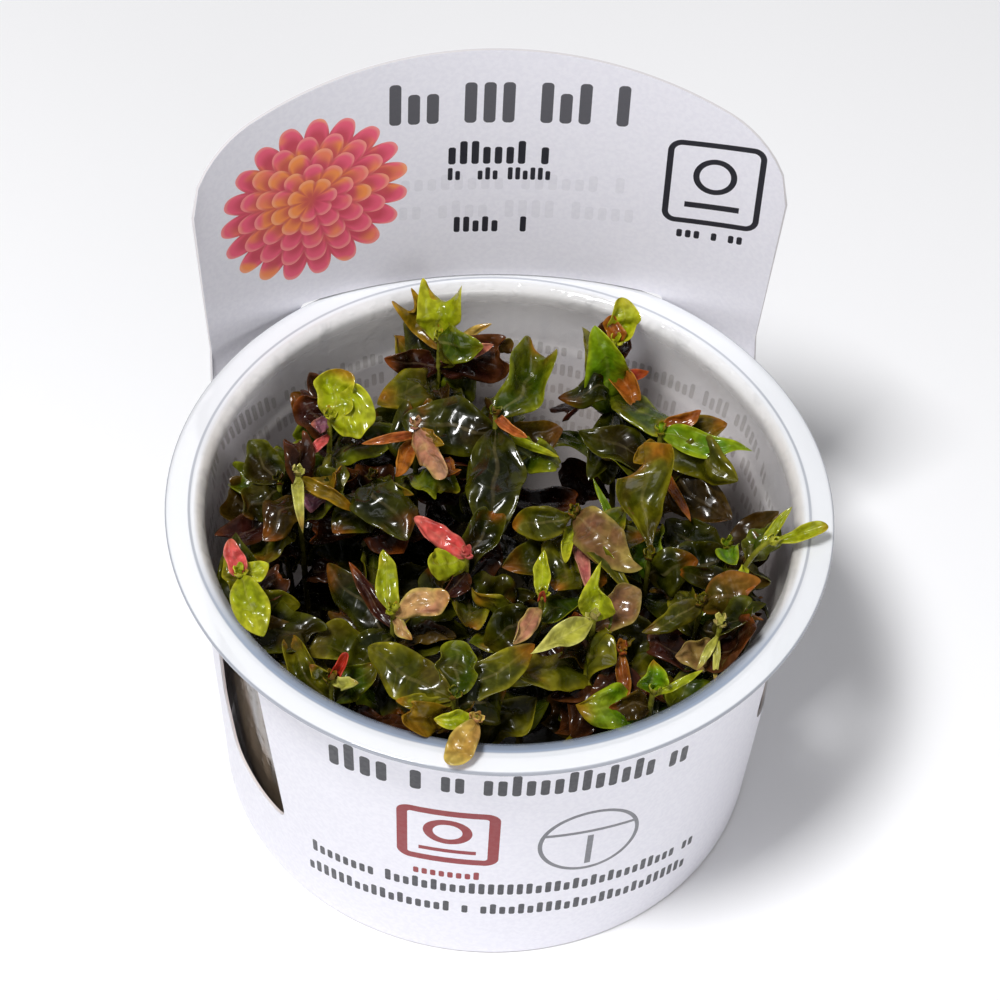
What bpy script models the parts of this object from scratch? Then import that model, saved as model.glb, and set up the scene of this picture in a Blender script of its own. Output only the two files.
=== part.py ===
"""A pot of rotala: leafy shoots in a clear culture cup, wrapped in a folded card sleeve.

Lengths are in millimetres while the pieces are worked out, and the meshes are made in metres.
+Z is up and the origin is the centre of the cup's base. Heights in the table of shoots are
measured from the rim of the cup, so a leaf at 0 is level with the rim.
"""

import math
import random

import bmesh
import bpy
import numpy as np
from mathutils import Vector
from mathutils.bvhtree import BVHTree

MM = 0.001

# Cup: a tub of clear plastic with a flat flange round its mouth.
CUP_HEIGHT = 59.0
FLANGE_RADIUS = 50.0
FLANGE_THICKNESS = 1.0
MOUTH_RADIUS = 44.1
WALL = 0.6
SHOULDER_DEPTH = 11.0
SHOULDER_STEP = 0.7
WALL_TAPER = 0.05
BASE_ROUND = 1.6
CUP_SIDES = 36

# Culture gel: a shallow layer on the floor of the cup.
GEL_DEPTH = 6.0
GAP = 0.3

# Card sleeve: a die-cut blank wrapped round the cup, its back standing up as an arched panel.
CARD = 0.5
CARD_RIM_RADIUS = 45.6
CARD_TAPER = 0.0475
CARD_FOOT = 0.3
BAND_TOP = CUP_HEIGHT - 1.6
PANEL_TURN = math.radians(-6.6)
PANEL_TOP = CUP_HEIGHT + 45.6
PANEL_HALF_WIDTH = 46.0
PANEL_WIDENING = 0.0014
PANEL_ARCH_RADIUS = 115.0
PANEL_CORNER = 11.0
PANEL_CURVE_RADIUS = 75.0
PANEL_APEX = 47.0
PANEL_LEAN = 0.03
NOTCH_DEPTH = 7.0
NOTCH_END = 57.0
SLOT_HALF_LENGTH = 29.8
SLOT_LOW = CUP_HEIGHT - 1.4
SLOT_HIGH = CUP_HEIGHT + 0.4
BAND_COLUMNS = 36
BAND_ROWS = (0.0, 0.55, 0.77, 1.0)
PANEL_COLUMNS = (0.0, 9.0, 18.0, 27.0, 34.0, 39.5, 43.3, 45.3, PANEL_HALF_WIDTH)
NOTCH_COLUMNS = (48.0, 51.0, 54.0, NOTCH_END)
PANEL_ROWS = 2

# Outlines of the side windows on the flat blank: distance round from the panel's middle, height.
LEFT_WINDOW = ((-86.6, 50.5), (-99.6, 50.5), (-103.6, 17.0), (-96.5, 17.2), (-88.6, 19.2), (-85.4, 30.0))
RIGHT_WINDOW = ((79.0, 50.5), (95.2, 50.5), (95.0, 30.0), (86.0, 22.5), (79.0, 25.0))

# Shoots
STEM_RADIUS = 0.65
STEM_SIDES_LEVEL = 0
STEM_POINTS = 5
ROOT_SPACING = 0.4
LEAF_THICKNESS = 0.5
LONG_LEAF = 11.5
WIDE_LEAF = 3.1
LEAF_ROOT_HALF_WIDTH = 0.35
LEAF_TIP_HALF_WIDTH = 0.2
LEAF_CLEARANCE = 0.35
VIEWER = np.array((0.0, -0.651, 0.759))
UPWARD = np.array((0.0, 0.0, 1.0))

COLOURS = {
    "clear_plastic": (0.90, 0.92, 0.94),
    "white_card": (0.84, 0.83, 0.87),
    "culture_gel": (0.45, 0.42, 0.30),
    "leaf_green": (0.10, 0.20, 0.03),
    "leaf_olive": (0.14, 0.14, 0.03),
    "leaf_lime": (0.42, 0.45, 0.05),
    "leaf_brown": (0.11, 0.06, 0.03),
}


def leaf(kind, at, tip, width, **shape):
    """One leaf: its colour, how far down the stem it grows, where its tip is, and how wide it is."""
    return dict(kind=kind, at=at, tip=tip, width=width, **shape)


def shoot(foot, top, leaves, colour="leaf_olive", heading=(0, 0, 18), pairs=(10,)):
    """One shoot: where it stands on the gel, where its stem ends, and its leaves at the top."""
    return dict(foot=foot, top=top, leaves=leaves, colour=colour, heading=heading, pairs=pairs)


SHOOTS = {
    "shoot_back_left": shoot((-12, 24), (-11, 31, 1), [
        leaf("lime", 1, (-10.5, 35.5, 8), 7.5, cup=50, belly=0.62, blunt=0.4),
        leaf("amber", 2, (-17, 35.5, 5.5), 5, cup=90, belly=0.6, blunt=0.5),
        leaf("green", 1, (-4, 27, 4), 7, arch=1.5, cup=-60, belly=0.35),
        leaf("salmon", 1, (-3, 33, 3), 1.8),
        leaf("pink", 3, (-2.5, 28.5, 3), 3, cup=40),
        leaf("maroon", 5, (0.5, 29.5, 1), 8, cup=-70, arch=1, wave=0.8, belly=0.6),
        leaf("maroon", 4, (-19.5, 28, -1), 5, cup=60),
        leaf("olive", 6, (-20, 20, -3), 7.5, cup=-50, arch=2),
        leaf("brown", 8, (-9, 21, -6), 4, arch=1.5, cup=40),
    ], "leaf_olive"),
    "shoot_back_middle": shoot((0, 14), (-1.5, 15, 2), [
        leaf("green", 0.5, (6.5, 27, 4), 8.5, cup=110, belly=0.55, blunt=0.5, wave=0.6),
        leaf("dark", 3, (-0.5, -4, -6), 9.5, arch=3, cup=-50, belly=0.5),
        leaf("orange", 0.5, (3.5, 9.5, 3), 2.2, cup=150, arch=0.8),
        leaf("lime", 3, (8.5, 9.5, -1), 1.4, arch=-1),
        leaf("dark", 3, (-16, 17, -1), 9.5, arch=1.5, cup=-40),
        leaf("brown", 6, (9, 17, -3), 7.5, cup=50, wave=0.7),
    ], "leaf_green", pairs=(10, 21)),
    "shoot_back_right": shoot((19, 20), (16.5, 29.5, 4), [
        leaf("lime", 0.5, (17, 34, 9.5), 5, cup=60, belly=0.55, blunt=0.45),
        leaf("rust", 0.5, (15.5, 31.5, 8), 3.2, cup=60, blunt=0.5),
        leaf("bright", 14, (13, 30, 7), 8, cup=-70, arch=2.5, wave=0.9, belly=0.5),
        leaf("red", 8, (22, 28, -0.5), 2.6, cup=60),
        leaf("dark", 8, (8, 23.5, -3), 5, arch=2.5, cup=-60),
        leaf("dark", 12, (13.5, 13, -10), 5.5, arch=1.5, cup=-40),
    ], "leaf_green", pairs=(10, 21)),
    "shoot_right_back": shoot((25, 14), (24, 16, -1), [
        leaf("bright", 0.5, (38, 13, -1), 4.6, arch=1.5, cup=70, belly=0.35, blunt=1.0, hook=1.0),
        leaf("rust", 0.5, (30, 19, 1), 3, cup=60),
        leaf("olive", 2, (36, 8.5, -3), 7.5, cup=-50, arch=1),
        leaf("amber", 2, (20, 11, -3), 3.4, cup=80),
        leaf("brown", 6, (35.5, 5, -8), 8.5, cup=-60),
        leaf("rust", 5, (29, 2.5, -6), 1.8, cup=60),
    ], "leaf_olive", pairs=(10, 21)),
    "shoot_pitcher": shoot((22, -3), (22.8, -5.5, -5), [
        leaf("olive", 0.5, (21, 6, 5), 11.5, cup=120, belly=0.82, blunt=0.4),
        leaf("bright", 10, (14, 10, -6), 1.8),
        leaf("dark", 4, (30, -6, -5), 7.5, cup=-50, arch=2),
    ], "leaf_olive", pairs=(10, 21)),
    "shoot_middle": shoot((10, -3), (11, -4, 2), [
        leaf("olive", 0.5, (2, -6.5, 1), 5.5, arch=2, cup=-60, belly=0.6),
        leaf("pinkbrown", 0.5, (20, -13.5, 3), 7.5, cup=-80, arch=1.5, belly=0.5, blunt=0.5),
        leaf("lime", 2, (10, -12, 0), 2.6, cup=150),
        leaf("pink", 4, (14, -15.5, -3), 2.2, arch=1, cup=80),
        leaf("olive", 2, (21, -18, -1), 2.6, arch=3, cup=60),
    ], "leaf_brown"),
    "shoot_beak": shoot((13, -20), (14.3, -23.5, 2), [
        leaf("pale", 0.5, (5.5, -31, 2.5), 4, cup=60, belly=0.4, blunt=1.1),
        leaf("lime", 0.5, (14.8, -19, 6.5), 5.5, cup=40, belly=0.35, blunt=1.2),
        leaf("pinkbrown", 2, (21, -17, 1), 6, cup=80, belly=0.55),
        leaf("olive", 6, (20, -29, -6), 9, arch=2, cup=-40),
    ], "leaf_lime"),
    "shoot_middle_thin": shoot((5, -14), (6.8, -18.5, 0), [
        leaf("lime", 0.5, (6.8, -11.5, 2), 2.6, cup=60),
        leaf("red", 0.5, (7, -19.5, 2.5), 1.4, cup=120),
        leaf("dustypink", 2, (3, -26, -2), 3, cup=80),
        leaf("dark", 4, (-1, -22, -8), 7, arch=2, cup=-40),
    ], "leaf_olive", pairs=(10, 21)),
    "shoot_centre_left": shoot((-4, -8), (-4.5, -11.5, 0), [
        leaf("redpink", 0.5, (-12.5, -7.5, 3), 3.8, cup=-110, arch=0.8, blunt=0.5),
        leaf("lime", 1.5, (-10, -15, 1.5), 5.4, cup=-60, blunt=0.5),
        leaf("maroon", 3, (-7.5, -17, -3), 3.6, cup=60),
        leaf("dark", 6, (3, -12, -10), 8, arch=2, cup=-40),
    ], "leaf_olive"),
    "shoot_left_lime": shoot((-28, 10), (-26.7, 12.5, 2), [
        leaf("lime", 0.5, (-24.5, 17.5, 7), 6.5, cup=60, belly=0.55, blunt=0.4),
        leaf("lime", 0.5, (-20, 14, 3), 8, cup=-40, belly=0.6, blunt=0.35),
        leaf("purple", 1, (-29.5, 11.5, 1), 2.6),
        leaf("redpink", 3, (-31, 8, -4), 1.8, arch=2, cup=120),
    ], "leaf_lime", pairs=(10, 21)),
    "shoot_pink_fold": shoot((-13, 10), (-13.5, 12.5, 1), [
        leaf("dustypink", 0.5, (-9, 1, 2), 4.6, cup=-130, belly=0.5, blunt=0.5),
        leaf("amber", 1, (-9, 8, 2), 2.6, cup=60),
        leaf("rust", 2, (-16, 4.5, -2), 3, cup=80),
        leaf("orange", 1, (-21.5, 9, 0), 1.8, arch=2, cup=120),
    ], "leaf_brown"),
    "shoot_dark_big": shoot((-19, 2), (-19.5, 5, -3), [
        leaf("dark", 0.5, (-13.5, -7, -3), 8.5, cup=-50, arch=2.5, belly=0.55),
        leaf("olive", 0.5, (-13, -1, 0.5), 2, cup=60),
        leaf("dark", 4, (-25, -3, -7), 7, cup=-40, arch=1.5),
    ], "leaf_green", pairs=(10, 21)),
    "shoot_left_curl": shoot((-29, 0), (-30.5, 1.5, 1), [
        leaf("pale", 0.5, (-29, -7.5, -2), 1.9, arch=2, cup=60, hook=-1),
        leaf("amber", 0.5, (-21.5, -2, -3), 2.4, arch=2.5, cup=80),
        leaf("brown", 5, (-35, -7, -5), 6, cup=-50, arch=1),
        leaf("purple", 4, (-26, 1, -4), 3.5),
    ], "leaf_brown"),
    "shoot_left_dark": shoot((-32, 6), (-33.5, 2.5, -2), [
        leaf("dark", 0.5, (-38.5, 7.5, 1), 6.5, cup=60, belly=0.45),
        leaf("dark", 2, (-38.5, -3, -4), 6.5, cup=-40),
    ], "leaf_green"),
    "shoot_left_front": shoot((-34, -16), (-37, -19, 2), [
        leaf("lime", 0.5, (-33, -27.5, -3), 5.6, arch=1.5, cup=-40, belly=0.55),
        leaf("redpink", 0.5, (-38.5, -16, 6), 3.4, cup=110, blunt=0.5),
        leaf("lime", 1, (-33, -17, 2), 3.6, cup=60),
        leaf("olive", 7, (-28.5, -18, -6), 5.5, cup=-40, arch=1),
        leaf("brown", 8, (-27, -27, -7), 6.5, cup=40, arch=1),
    ], "leaf_lime"),
    "shoot_vee": shoot((-14, -21), (-14.5, -23.5, 1), [
        leaf("lime", 0.5, (-16.5, -16, 5.5), 3.6, cup=60),
        leaf("dustypink", 0.5, (-6.5, -22.5, 4), 4.6, cup=-60, belly=0.6, blunt=0.5),
        leaf("dustypink", 1, (-11.5, -27, -1), 2, cup=80),
        leaf("maroon", 3, (-21.5, -15, 1), 2.4, cup=80),
        leaf("dark", 7, (-25, -11.5, -4), 7, cup=-60, arch=1.5),
    ], "leaf_lime", pairs=(10, 21)),
    "shoot_front_buds": shoot((-22, -30), (-22.5, -34, -2), [
        leaf("olive", 0.5, (-25.5, -34, 1), 2.4, cup=80),
        leaf("pale", 0.5, (-18.5, -36, 0), 2, cup=40),
        leaf("berry", 1, (-20.5, -31.5, 1), 2.6, cup=200, blunt=0.4),
    ], "leaf_brown"),
    "shoot_front_rosette": shoot((-5, -34), (-5, -39, 2.5), [
        leaf("green", 0.5, (-5, -32, 6), 8, cup=150, belly=0.6, blunt=0.4, arch=-1),
        leaf("olive", 0.5, (-17.5, -31, 2), 7.5, arch=1.5, cup=-60, belly=0.5, wave=0.8),
        leaf("olive", 1, (-13, -39, 0.5), 2.8, arch=1, cup=50),
        leaf("dark", 2, (4.5, -40.5, -3), 8, arch=2, cup=-50),
        leaf("pale", 1, (6, -28.5, 1.5), 5.5, arch=1, cup=-40),
        leaf("amber", 2.5, (-11, -40.5, -1), 2.4, cup=80),
    ], "leaf_green"),
    "shoot_over_front": shoot((0, -34), (-1.5, -43, 3.0), [
        leaf("salmon", 0.5, (-5.2, -50, 1.6), 4.6, cup=-60, belly=0.62, blunt=0.5, arch=0.8),
        leaf("lime", 2, (-7.5, -42.5, 1.5), 3, cup=60),
    ], "leaf_lime", heading=(1.5, -4, 6), pairs=(18,)),
    "shoot_saddle": shoot((28, -15), (30, -17, -1), [
        leaf("olive", 0.5, (21.5, -22.5, -2), 3.8, cup=-60, arch=0.8, belly=0.35),
        leaf("amber", 0.5, (38.5, -17, 0.5), 8, cup=-100, belly=0.6, blunt=0.4, arch=1),
        leaf("bright", 4, (40, -13.5, -5), 3, cup=40),
        leaf("brown", 6, (34, -24, -8), 7, cup=-40),
    ], "leaf_brown"),
    "shoot_over_right": shoot((34, -6), (40, -7, 1.5), [
        leaf("lime", 0.5, (48.5, -4.6, 3.0), 2.6, cup=60, belly=0.7, blunt=0.5),
        leaf("lime", 1.5, (43, -2.5, 4.5), 1.6, cup=60),
        leaf("lime", 6, (35.5, -11, -3), 1.7, cup=40),
    ], "leaf_lime", heading=(5, 0, 4), pairs=(20,)),
    "shoot_cut_stem": shoot((30, -22), (32.5, -23, 2), [
        leaf("pale", 3, (29.5, -28, -3), 1.3, arch=0.6),
        leaf("pale", 3, (33, -29, -4), 1.1, arch=0.8),
        leaf("pinkbrown", 5, (26.5, -25, -4), 5, cup=60),
    ], "leaf_lime"),
    "shoot_front_right": shoot((20.5, -30), (23, -34.5, 0), [
        leaf("bright", 0.5, (22.8, -31.5, 3.5), 4.6, cup=50, belly=0.4, blunt=1.0),
        leaf("lime", 0.5, (30, -31, 1), 1.2, arch=1),
        leaf("brown", 3, (17, -35.5, -3), 5, cup=80),
    ], "leaf_green"),
    "shoot_front_brown": shoot((17, -28), (18.5, -26.5, -1), [
        leaf("rust", 0.5, (19.5, -34.5, -5), 2.2, cup=60),
        leaf("maroon", 3, (10, -31, -7), 8, cup=-40, arch=1.5),
        leaf("maroon", 5, (12, -36, -10), 7, cup=-40, arch=1),
    ], "leaf_brown"),
    "shoot_right_glass": shoot((33, -3), (34.5, -2.5, -5), [
        leaf("bright", 0.5, (35.5, -8, -3), 3.6, cup=30),
        leaf("dark", 3, (26, -3, -9), 7.5, cup=-50, arch=1.5),
    ], "leaf_green"),
    "shoot_left_back": shoot((-26, 21), (-26, 22, -6), [
        leaf("maroon", 0.5, (-31, 25, -2), 5, cup=60),
        leaf("olive", 0.5, (-21, 19, -3), 5.5, cup=-50, arch=1),
        leaf("green", 3, (-33, 17, -8), 6, cup=-40),
    ], "leaf_brown", pairs=(10, 21)),
}

# Pairs of leaves lower on each stem, by rule.
PAIR_LENGTH = 13.0
PAIR_WIDTH = 7.6
PAIR_RISE = math.radians(14)
PAIR_SPREAD = math.radians(28)
PAIR_SEED = 17


def clean_scene():
    for item in list(bpy.data.objects):
        bpy.data.objects.remove(item)


def collection(name):
    made = bpy.data.collections.new(name)
    bpy.context.scene.collection.children.link(made)
    return made


def material(name, roughness=0.4):
    made = bpy.data.materials.new(name)
    made.use_nodes = True
    shader = made.node_tree.nodes["Principled BSDF"]
    shader.inputs["Base Color"].default_value = (*COLOURS[name], 1.0)
    shader.inputs["Roughness"].default_value = roughness
    shader.inputs["Metallic"].default_value = 0.0
    return made


def mesh_object(name, points, faces, group):
    """A mesh object from points in millimetres."""
    mesh = bpy.data.meshes.new(name)
    mesh.from_pydata([Vector(p) * MM for p in points], [], faces)
    made = bpy.data.objects.new(name, mesh)
    group.objects.link(made)
    return made


def evaluated_mesh(item):
    """The object's mesh with its modifiers applied, and doubled points merged."""
    bpy.context.view_layer.update()
    graph = bpy.context.evaluated_depsgraph_get()
    mesh = bpy.data.meshes.new_from_object(item.evaluated_get(graph))
    work = bmesh.new()
    work.from_mesh(mesh)
    bmesh.ops.remove_doubles(work, verts=work.verts, dist=1e-6)
    work.to_mesh(mesh)
    work.free()
    return mesh


def without_folds(mesh):
    """Take away slivers that the fusing leaves folded flat: two faces on the same three points."""
    work = bmesh.new()
    work.from_mesh(mesh)
    bmesh.ops.triangulate(work, faces=work.faces)
    by_points = {}
    for face in work.faces:
        by_points.setdefault(frozenset(vert.index for vert in face.verts), []).append(face)
    folded = [face for faces in by_points.values() if len(faces) > 1 for face in faces]
    bmesh.ops.delete(work, geom=folded, context="FACES")
    work.to_mesh(mesh)
    work.free()
    return mesh


def finish(item, colour, flat=False):
    item.data.materials.clear()
    item.data.materials.append(colour)
    if not flat:
        item.data.shade_smooth()
        item.data.set_sharp_from_angle(angle=math.radians(35))


def cup_profile():
    """Half section of the cup: up the inside from the middle of the floor, then down the outside."""
    top = CUP_HEIGHT
    shoulder = top - SHOULDER_DEPTH
    inner_shoulder = MOUTH_RADIUS - SHOULDER_STEP
    inner_foot = inner_shoulder - SHOULDER_STEP - WALL_TAPER * (shoulder - WALL)
    return [
        (0.0, WALL + 0.4),
        (inner_foot - BASE_ROUND, WALL + 0.4),
        (inner_foot, WALL + 0.4 + BASE_ROUND),
        (inner_shoulder - SHOULDER_STEP, shoulder - 1.0),
        (inner_shoulder, shoulder),
        (MOUTH_RADIUS, top - 1.2),
        (MOUTH_RADIUS + 1.2, top),
        (FLANGE_RADIUS, top),
        (FLANGE_RADIUS, top - FLANGE_THICKNESS),
        (MOUTH_RADIUS + WALL, top - FLANGE_THICKNESS - 0.4),
        (inner_shoulder + WALL, shoulder - 0.3),
        (inner_shoulder - SHOULDER_STEP + WALL, shoulder - 1.6),
        (inner_foot + WALL, BASE_ROUND),
        (inner_foot + WALL - BASE_ROUND, 0.0),
        (0.0, 0.0),
    ]


def turned(name, profile, sides, group):
    """A solid of revolution from a profile in the XZ plane."""
    points = [(r, 0.0, z) for r, z in profile]
    mesh = bpy.data.meshes.new(name)
    mesh.from_pydata([Vector(p) * MM for p in points], [(i, i + 1) for i in range(len(points) - 1)], [])
    made = bpy.data.objects.new(name, mesh)
    group.objects.link(made)
    screw = made.modifiers.new("Turn", "SCREW")
    screw.steps = sides
    screw.render_steps = sides
    screw.use_merge_vertices = True
    screw.merge_threshold = 1e-6
    return made


def inner_radius(height):
    """Inside radius of the cup's wall at a height."""
    profile = cup_profile()[1:7]
    return float(np.interp(height, [z for r, z in profile], [r for r, z in profile]))


def gel_profile():
    floor = WALL + 0.4 + GAP
    foot = inner_radius(floor + BASE_ROUND) - GAP
    top = floor + GEL_DEPTH
    return [
        (0.0, top),
        (inner_radius(top) - GAP, top),
        (foot, floor + BASE_ROUND),
        (foot - BASE_ROUND - GAP, floor),
        (0.0, floor),
    ]


def smooth_step(low, high, value):
    t = min(max((value - low) / (high - low), 0.0), 1.0)
    return t * t * (3.0 - 2.0 * t)


def band_top(round_the_card):
    """Height of the band's edge, which dips in a rounded notch beside the panel."""
    s = abs(round_the_card)
    if s <= PANEL_HALF_WIDTH + 0.01 or s >= NOTCH_END:
        return BAND_TOP
    across = (s - PANEL_HALF_WIDTH) / (NOTCH_END - PANEL_HALF_WIDTH)
    return BAND_TOP - NOTCH_DEPTH * (1.0 - across ** 2.5)


def panel_top(round_the_card):
    """Height of the panel's arched edge at a distance from the panel's middle."""
    s = abs(round_the_card)
    arch = PANEL_TOP - PANEL_ARCH_RADIUS + math.sqrt(PANEL_ARCH_RADIUS ** 2 - s * s)
    into_corner = s - (PANEL_HALF_WIDTH - PANEL_CORNER)
    if into_corner <= 0.0:
        return arch
    into_corner = min(into_corner, PANEL_CORNER)
    return arch - (PANEL_CORNER - math.sqrt(PANEL_CORNER ** 2 - into_corner ** 2)) * 0.8


def wrapped(s, height, out=0.0):
    """Where a point of the flat blank lies on the finished sleeve; out is off the card's middle."""
    def middle(s, height):
        radius = CARD_RIM_RADIUS + CARD_TAPER * (height - CUP_HEIGHT)
        angle = s / CARD_RIM_RADIUS
        cone = np.array((radius * math.sin(angle), radius * math.cos(angle)))
        bend = s / PANEL_CURVE_RADIUS
        apex = PANEL_APEX + PANEL_LEAN * (height - CUP_HEIGHT)
        panel = np.array((PANEL_CURVE_RADIUS * math.sin(bend),
                          apex - PANEL_CURVE_RADIUS * (1.0 - math.cos(bend))))
        share = smooth_step(CUP_HEIGHT - 27.0, CUP_HEIGHT - 1.8, height) * (1.0 - smooth_step(46.5, 62.0, abs(s)))
        x, y = cone * (1.0 - share) + panel * share
        turn = -PANEL_TURN
        return np.array((x * math.cos(turn) - y * math.sin(turn), x * math.sin(turn) + y * math.cos(turn), height))
    here = middle(s, height)
    along = middle(s + 0.05, height) - middle(s - 0.05, height)
    upward = middle(s, height + 0.05) - middle(s, height - 0.05)
    normal = np.cross(upward, along)
    return here + out * normal / np.linalg.norm(normal)


def card_blank(group):
    """The flat blank as an open sheet in the XZ plane: a band, and the arched panel above its middle."""
    half_round = math.pi * CARD_RIM_RADIUS
    step = 2.0 * half_round / BAND_COLUMNS
    close = list(PANEL_COLUMNS[1:]) + list(NOTCH_COLUMNS)
    columns = [i * step - half_round for i in range(BAND_COLUMNS + 1)]
    columns = sorted([c for c in columns if abs(c) > NOTCH_END + 1.0] + [0.0] + close + [-c for c in close])
    points = []
    index = {}

    def point(s, height):
        key = (round(s, 4), round(height, 4))
        if key not in index:
            index[key] = len(points)
            points.append((s, 0.0, height))
        return index[key]

    faces = []
    def column(s, in_panel):
        top = BAND_TOP if in_panel else band_top(s)
        edge = [(s, CARD_FOOT + (BAND_TOP - CARD_FOOT) * t) for t in BAND_ROWS[:-1]] + [(s, top)]
        if in_panel:
            for row in range(PANEL_ROWS):
                height = BAND_TOP + (panel_top(s) - BAND_TOP) * (row + 1) / PANEL_ROWS
                edge.append((s * (1.0 + PANEL_WIDENING * (height - BAND_TOP)), height))
        return edge

    for left, right in zip(columns, columns[1:]):
        in_panel = max(abs(left), abs(right)) <= PANEL_HALF_WIDTH
        left_edge = column(left, in_panel)
        right_edge = column(right, in_panel)
        for low_left, low_right, high_right, high_left in zip(left_edge, right_edge, right_edge[1:], left_edge[1:]):
            faces.append((point(*low_left), point(*low_right), point(*high_right), point(*high_left)))
    return mesh_object("card_sleeve", points, faces, group)


def cutter(name, outline, group):
    """A prism that cuts right through the flat blank, from an outline of round-the-card and height."""
    curve = bpy.data.curves.new(name, "CURVE")
    curve.dimensions = "2D"
    curve.fill_mode = "BOTH"
    curve.extrude = 3.0 * MM
    spline = curve.splines.new("POLY")
    spline.points.add(len(outline) - 1)
    for place, (s, height) in zip(spline.points, outline):
        place.co = (s * MM, height * MM, 0.0, 1.0)
    spline.use_cyclic_u = True
    flat = bpy.data.objects.new(name, curve)
    flat.rotation_euler = (math.radians(90), 0.0, 0.0)
    group.objects.link(flat)
    solid = bpy.data.objects.new(name, evaluated_mesh(flat))
    solid.matrix_world = flat.matrix_world.copy()
    group.objects.link(solid)
    bpy.data.objects.remove(flat)
    bpy.data.curves.remove(curve)
    solid.hide_render = True
    solid.display_type = "WIRE"
    return solid


def rounded(outline, radius, steps=3):
    """The outline with each corner replaced by a short arc."""
    made = []
    count = len(outline)
    for i, corner in enumerate(outline):
        here = np.array(corner, float)
        before = np.array(outline[i - 1], float) - here
        after = np.array(outline[(i + 1) % count], float) - here
        cut = min(radius, 0.45 * np.linalg.norm(before), 0.45 * np.linalg.norm(after))
        start = here + before / np.linalg.norm(before) * cut
        end = here + after / np.linalg.norm(after) * cut
        for k in range(steps + 1):
            t = k / steps
            made.append(tuple((1 - t) ** 2 * start + 2 * t * (1 - t) * here + t ** 2 * end))
    return made


def slot_outline():
    half = (SLOT_HIGH - SLOT_LOW) / 2.0
    middle = (SLOT_HIGH + SLOT_LOW) / 2.0
    turns = [math.pi / 2 - math.pi * k / 4 for k in range(5)]
    right = [(SLOT_HALF_LENGTH - half + half * math.cos(t), middle + half * math.sin(t)) for t in turns]
    left = [(-s, 2 * middle - height) for s, height in right]
    return right + left


def card_sleeve(group, cutters):
    """Cut the blank while it is flat, then wrap it round the cup and close its ends."""
    blank = card_blank(group)
    sheet = blank.modifiers.new("Card", "SOLIDIFY")
    sheet.thickness = CARD * MM
    sheet.offset = 0.0
    outlines = {
        "cut_slot": slot_outline(),
        "cut_left_window": rounded(LEFT_WINDOW, 3.0),
        "cut_right_window": rounded(RIGHT_WINDOW, 3.0),
    }
    for name, outline in outlines.items():
        cut = blank.modifiers.new(name, "BOOLEAN")
        cut.operation = "DIFFERENCE"
        cut.object = cutter(name, outline, cutters)
    flat = evaluated_mesh(blank)
    blank.modifiers.clear()
    blank.data = flat
    half_round = math.pi * CARD_RIM_RADIUS * MM
    work = bmesh.new()
    work.from_mesh(flat)
    ends = [face for face in work.faces if all(abs(abs(v.co.x) - half_round) < 1e-7 for v in face.verts)]
    bmesh.ops.delete(work, geom=ends, context="FACES")
    for vert in work.verts:
        place = wrapped(vert.co.x / MM, vert.co.z / MM, -vert.co.y / MM)
        vert.co = Vector(place) * MM
    bmesh.ops.remove_doubles(work, verts=work.verts, dist=1e-5)
    bmesh.ops.recalc_face_normals(work, faces=work.faces)
    work.to_mesh(flat)
    work.free()
    return blank


def stem_path(spec, count):
    """Points down a shoot's stem, from its top to its foot on the gel."""
    foot_height = WALL + 0.4 + 2 * GAP + GEL_DEPTH
    foot = np.array((*spec["foot"], foot_height), float)
    top = np.array(spec["top"], float) + (0.0, 0.0, CUP_HEIGHT)
    rise = foot + (0.0, 0.0, 0.45 * (top[2] - foot_height))
    into_top = top - np.array(spec["heading"], float)
    made = []
    for t in np.linspace(0.0, 1.0, count):
        made.append((1 - t) ** 3 * top + 3 * t * (1 - t) ** 2 * into_top + 3 * t * t * (1 - t) * rise + t ** 3 * foot)
    return np.array(made)


def stem_place(path, distance):
    """The point of a stem at a distance down from its top."""
    steps = np.linalg.norm(np.diff(path, axis=0), axis=1)
    travelled = np.concatenate(((0.0,), np.cumsum(steps)))
    return np.array([np.interp(distance, travelled, path[:, axis]) for axis in range(3)])


def unit(vector):
    return vector / np.linalg.norm(vector)


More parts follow.
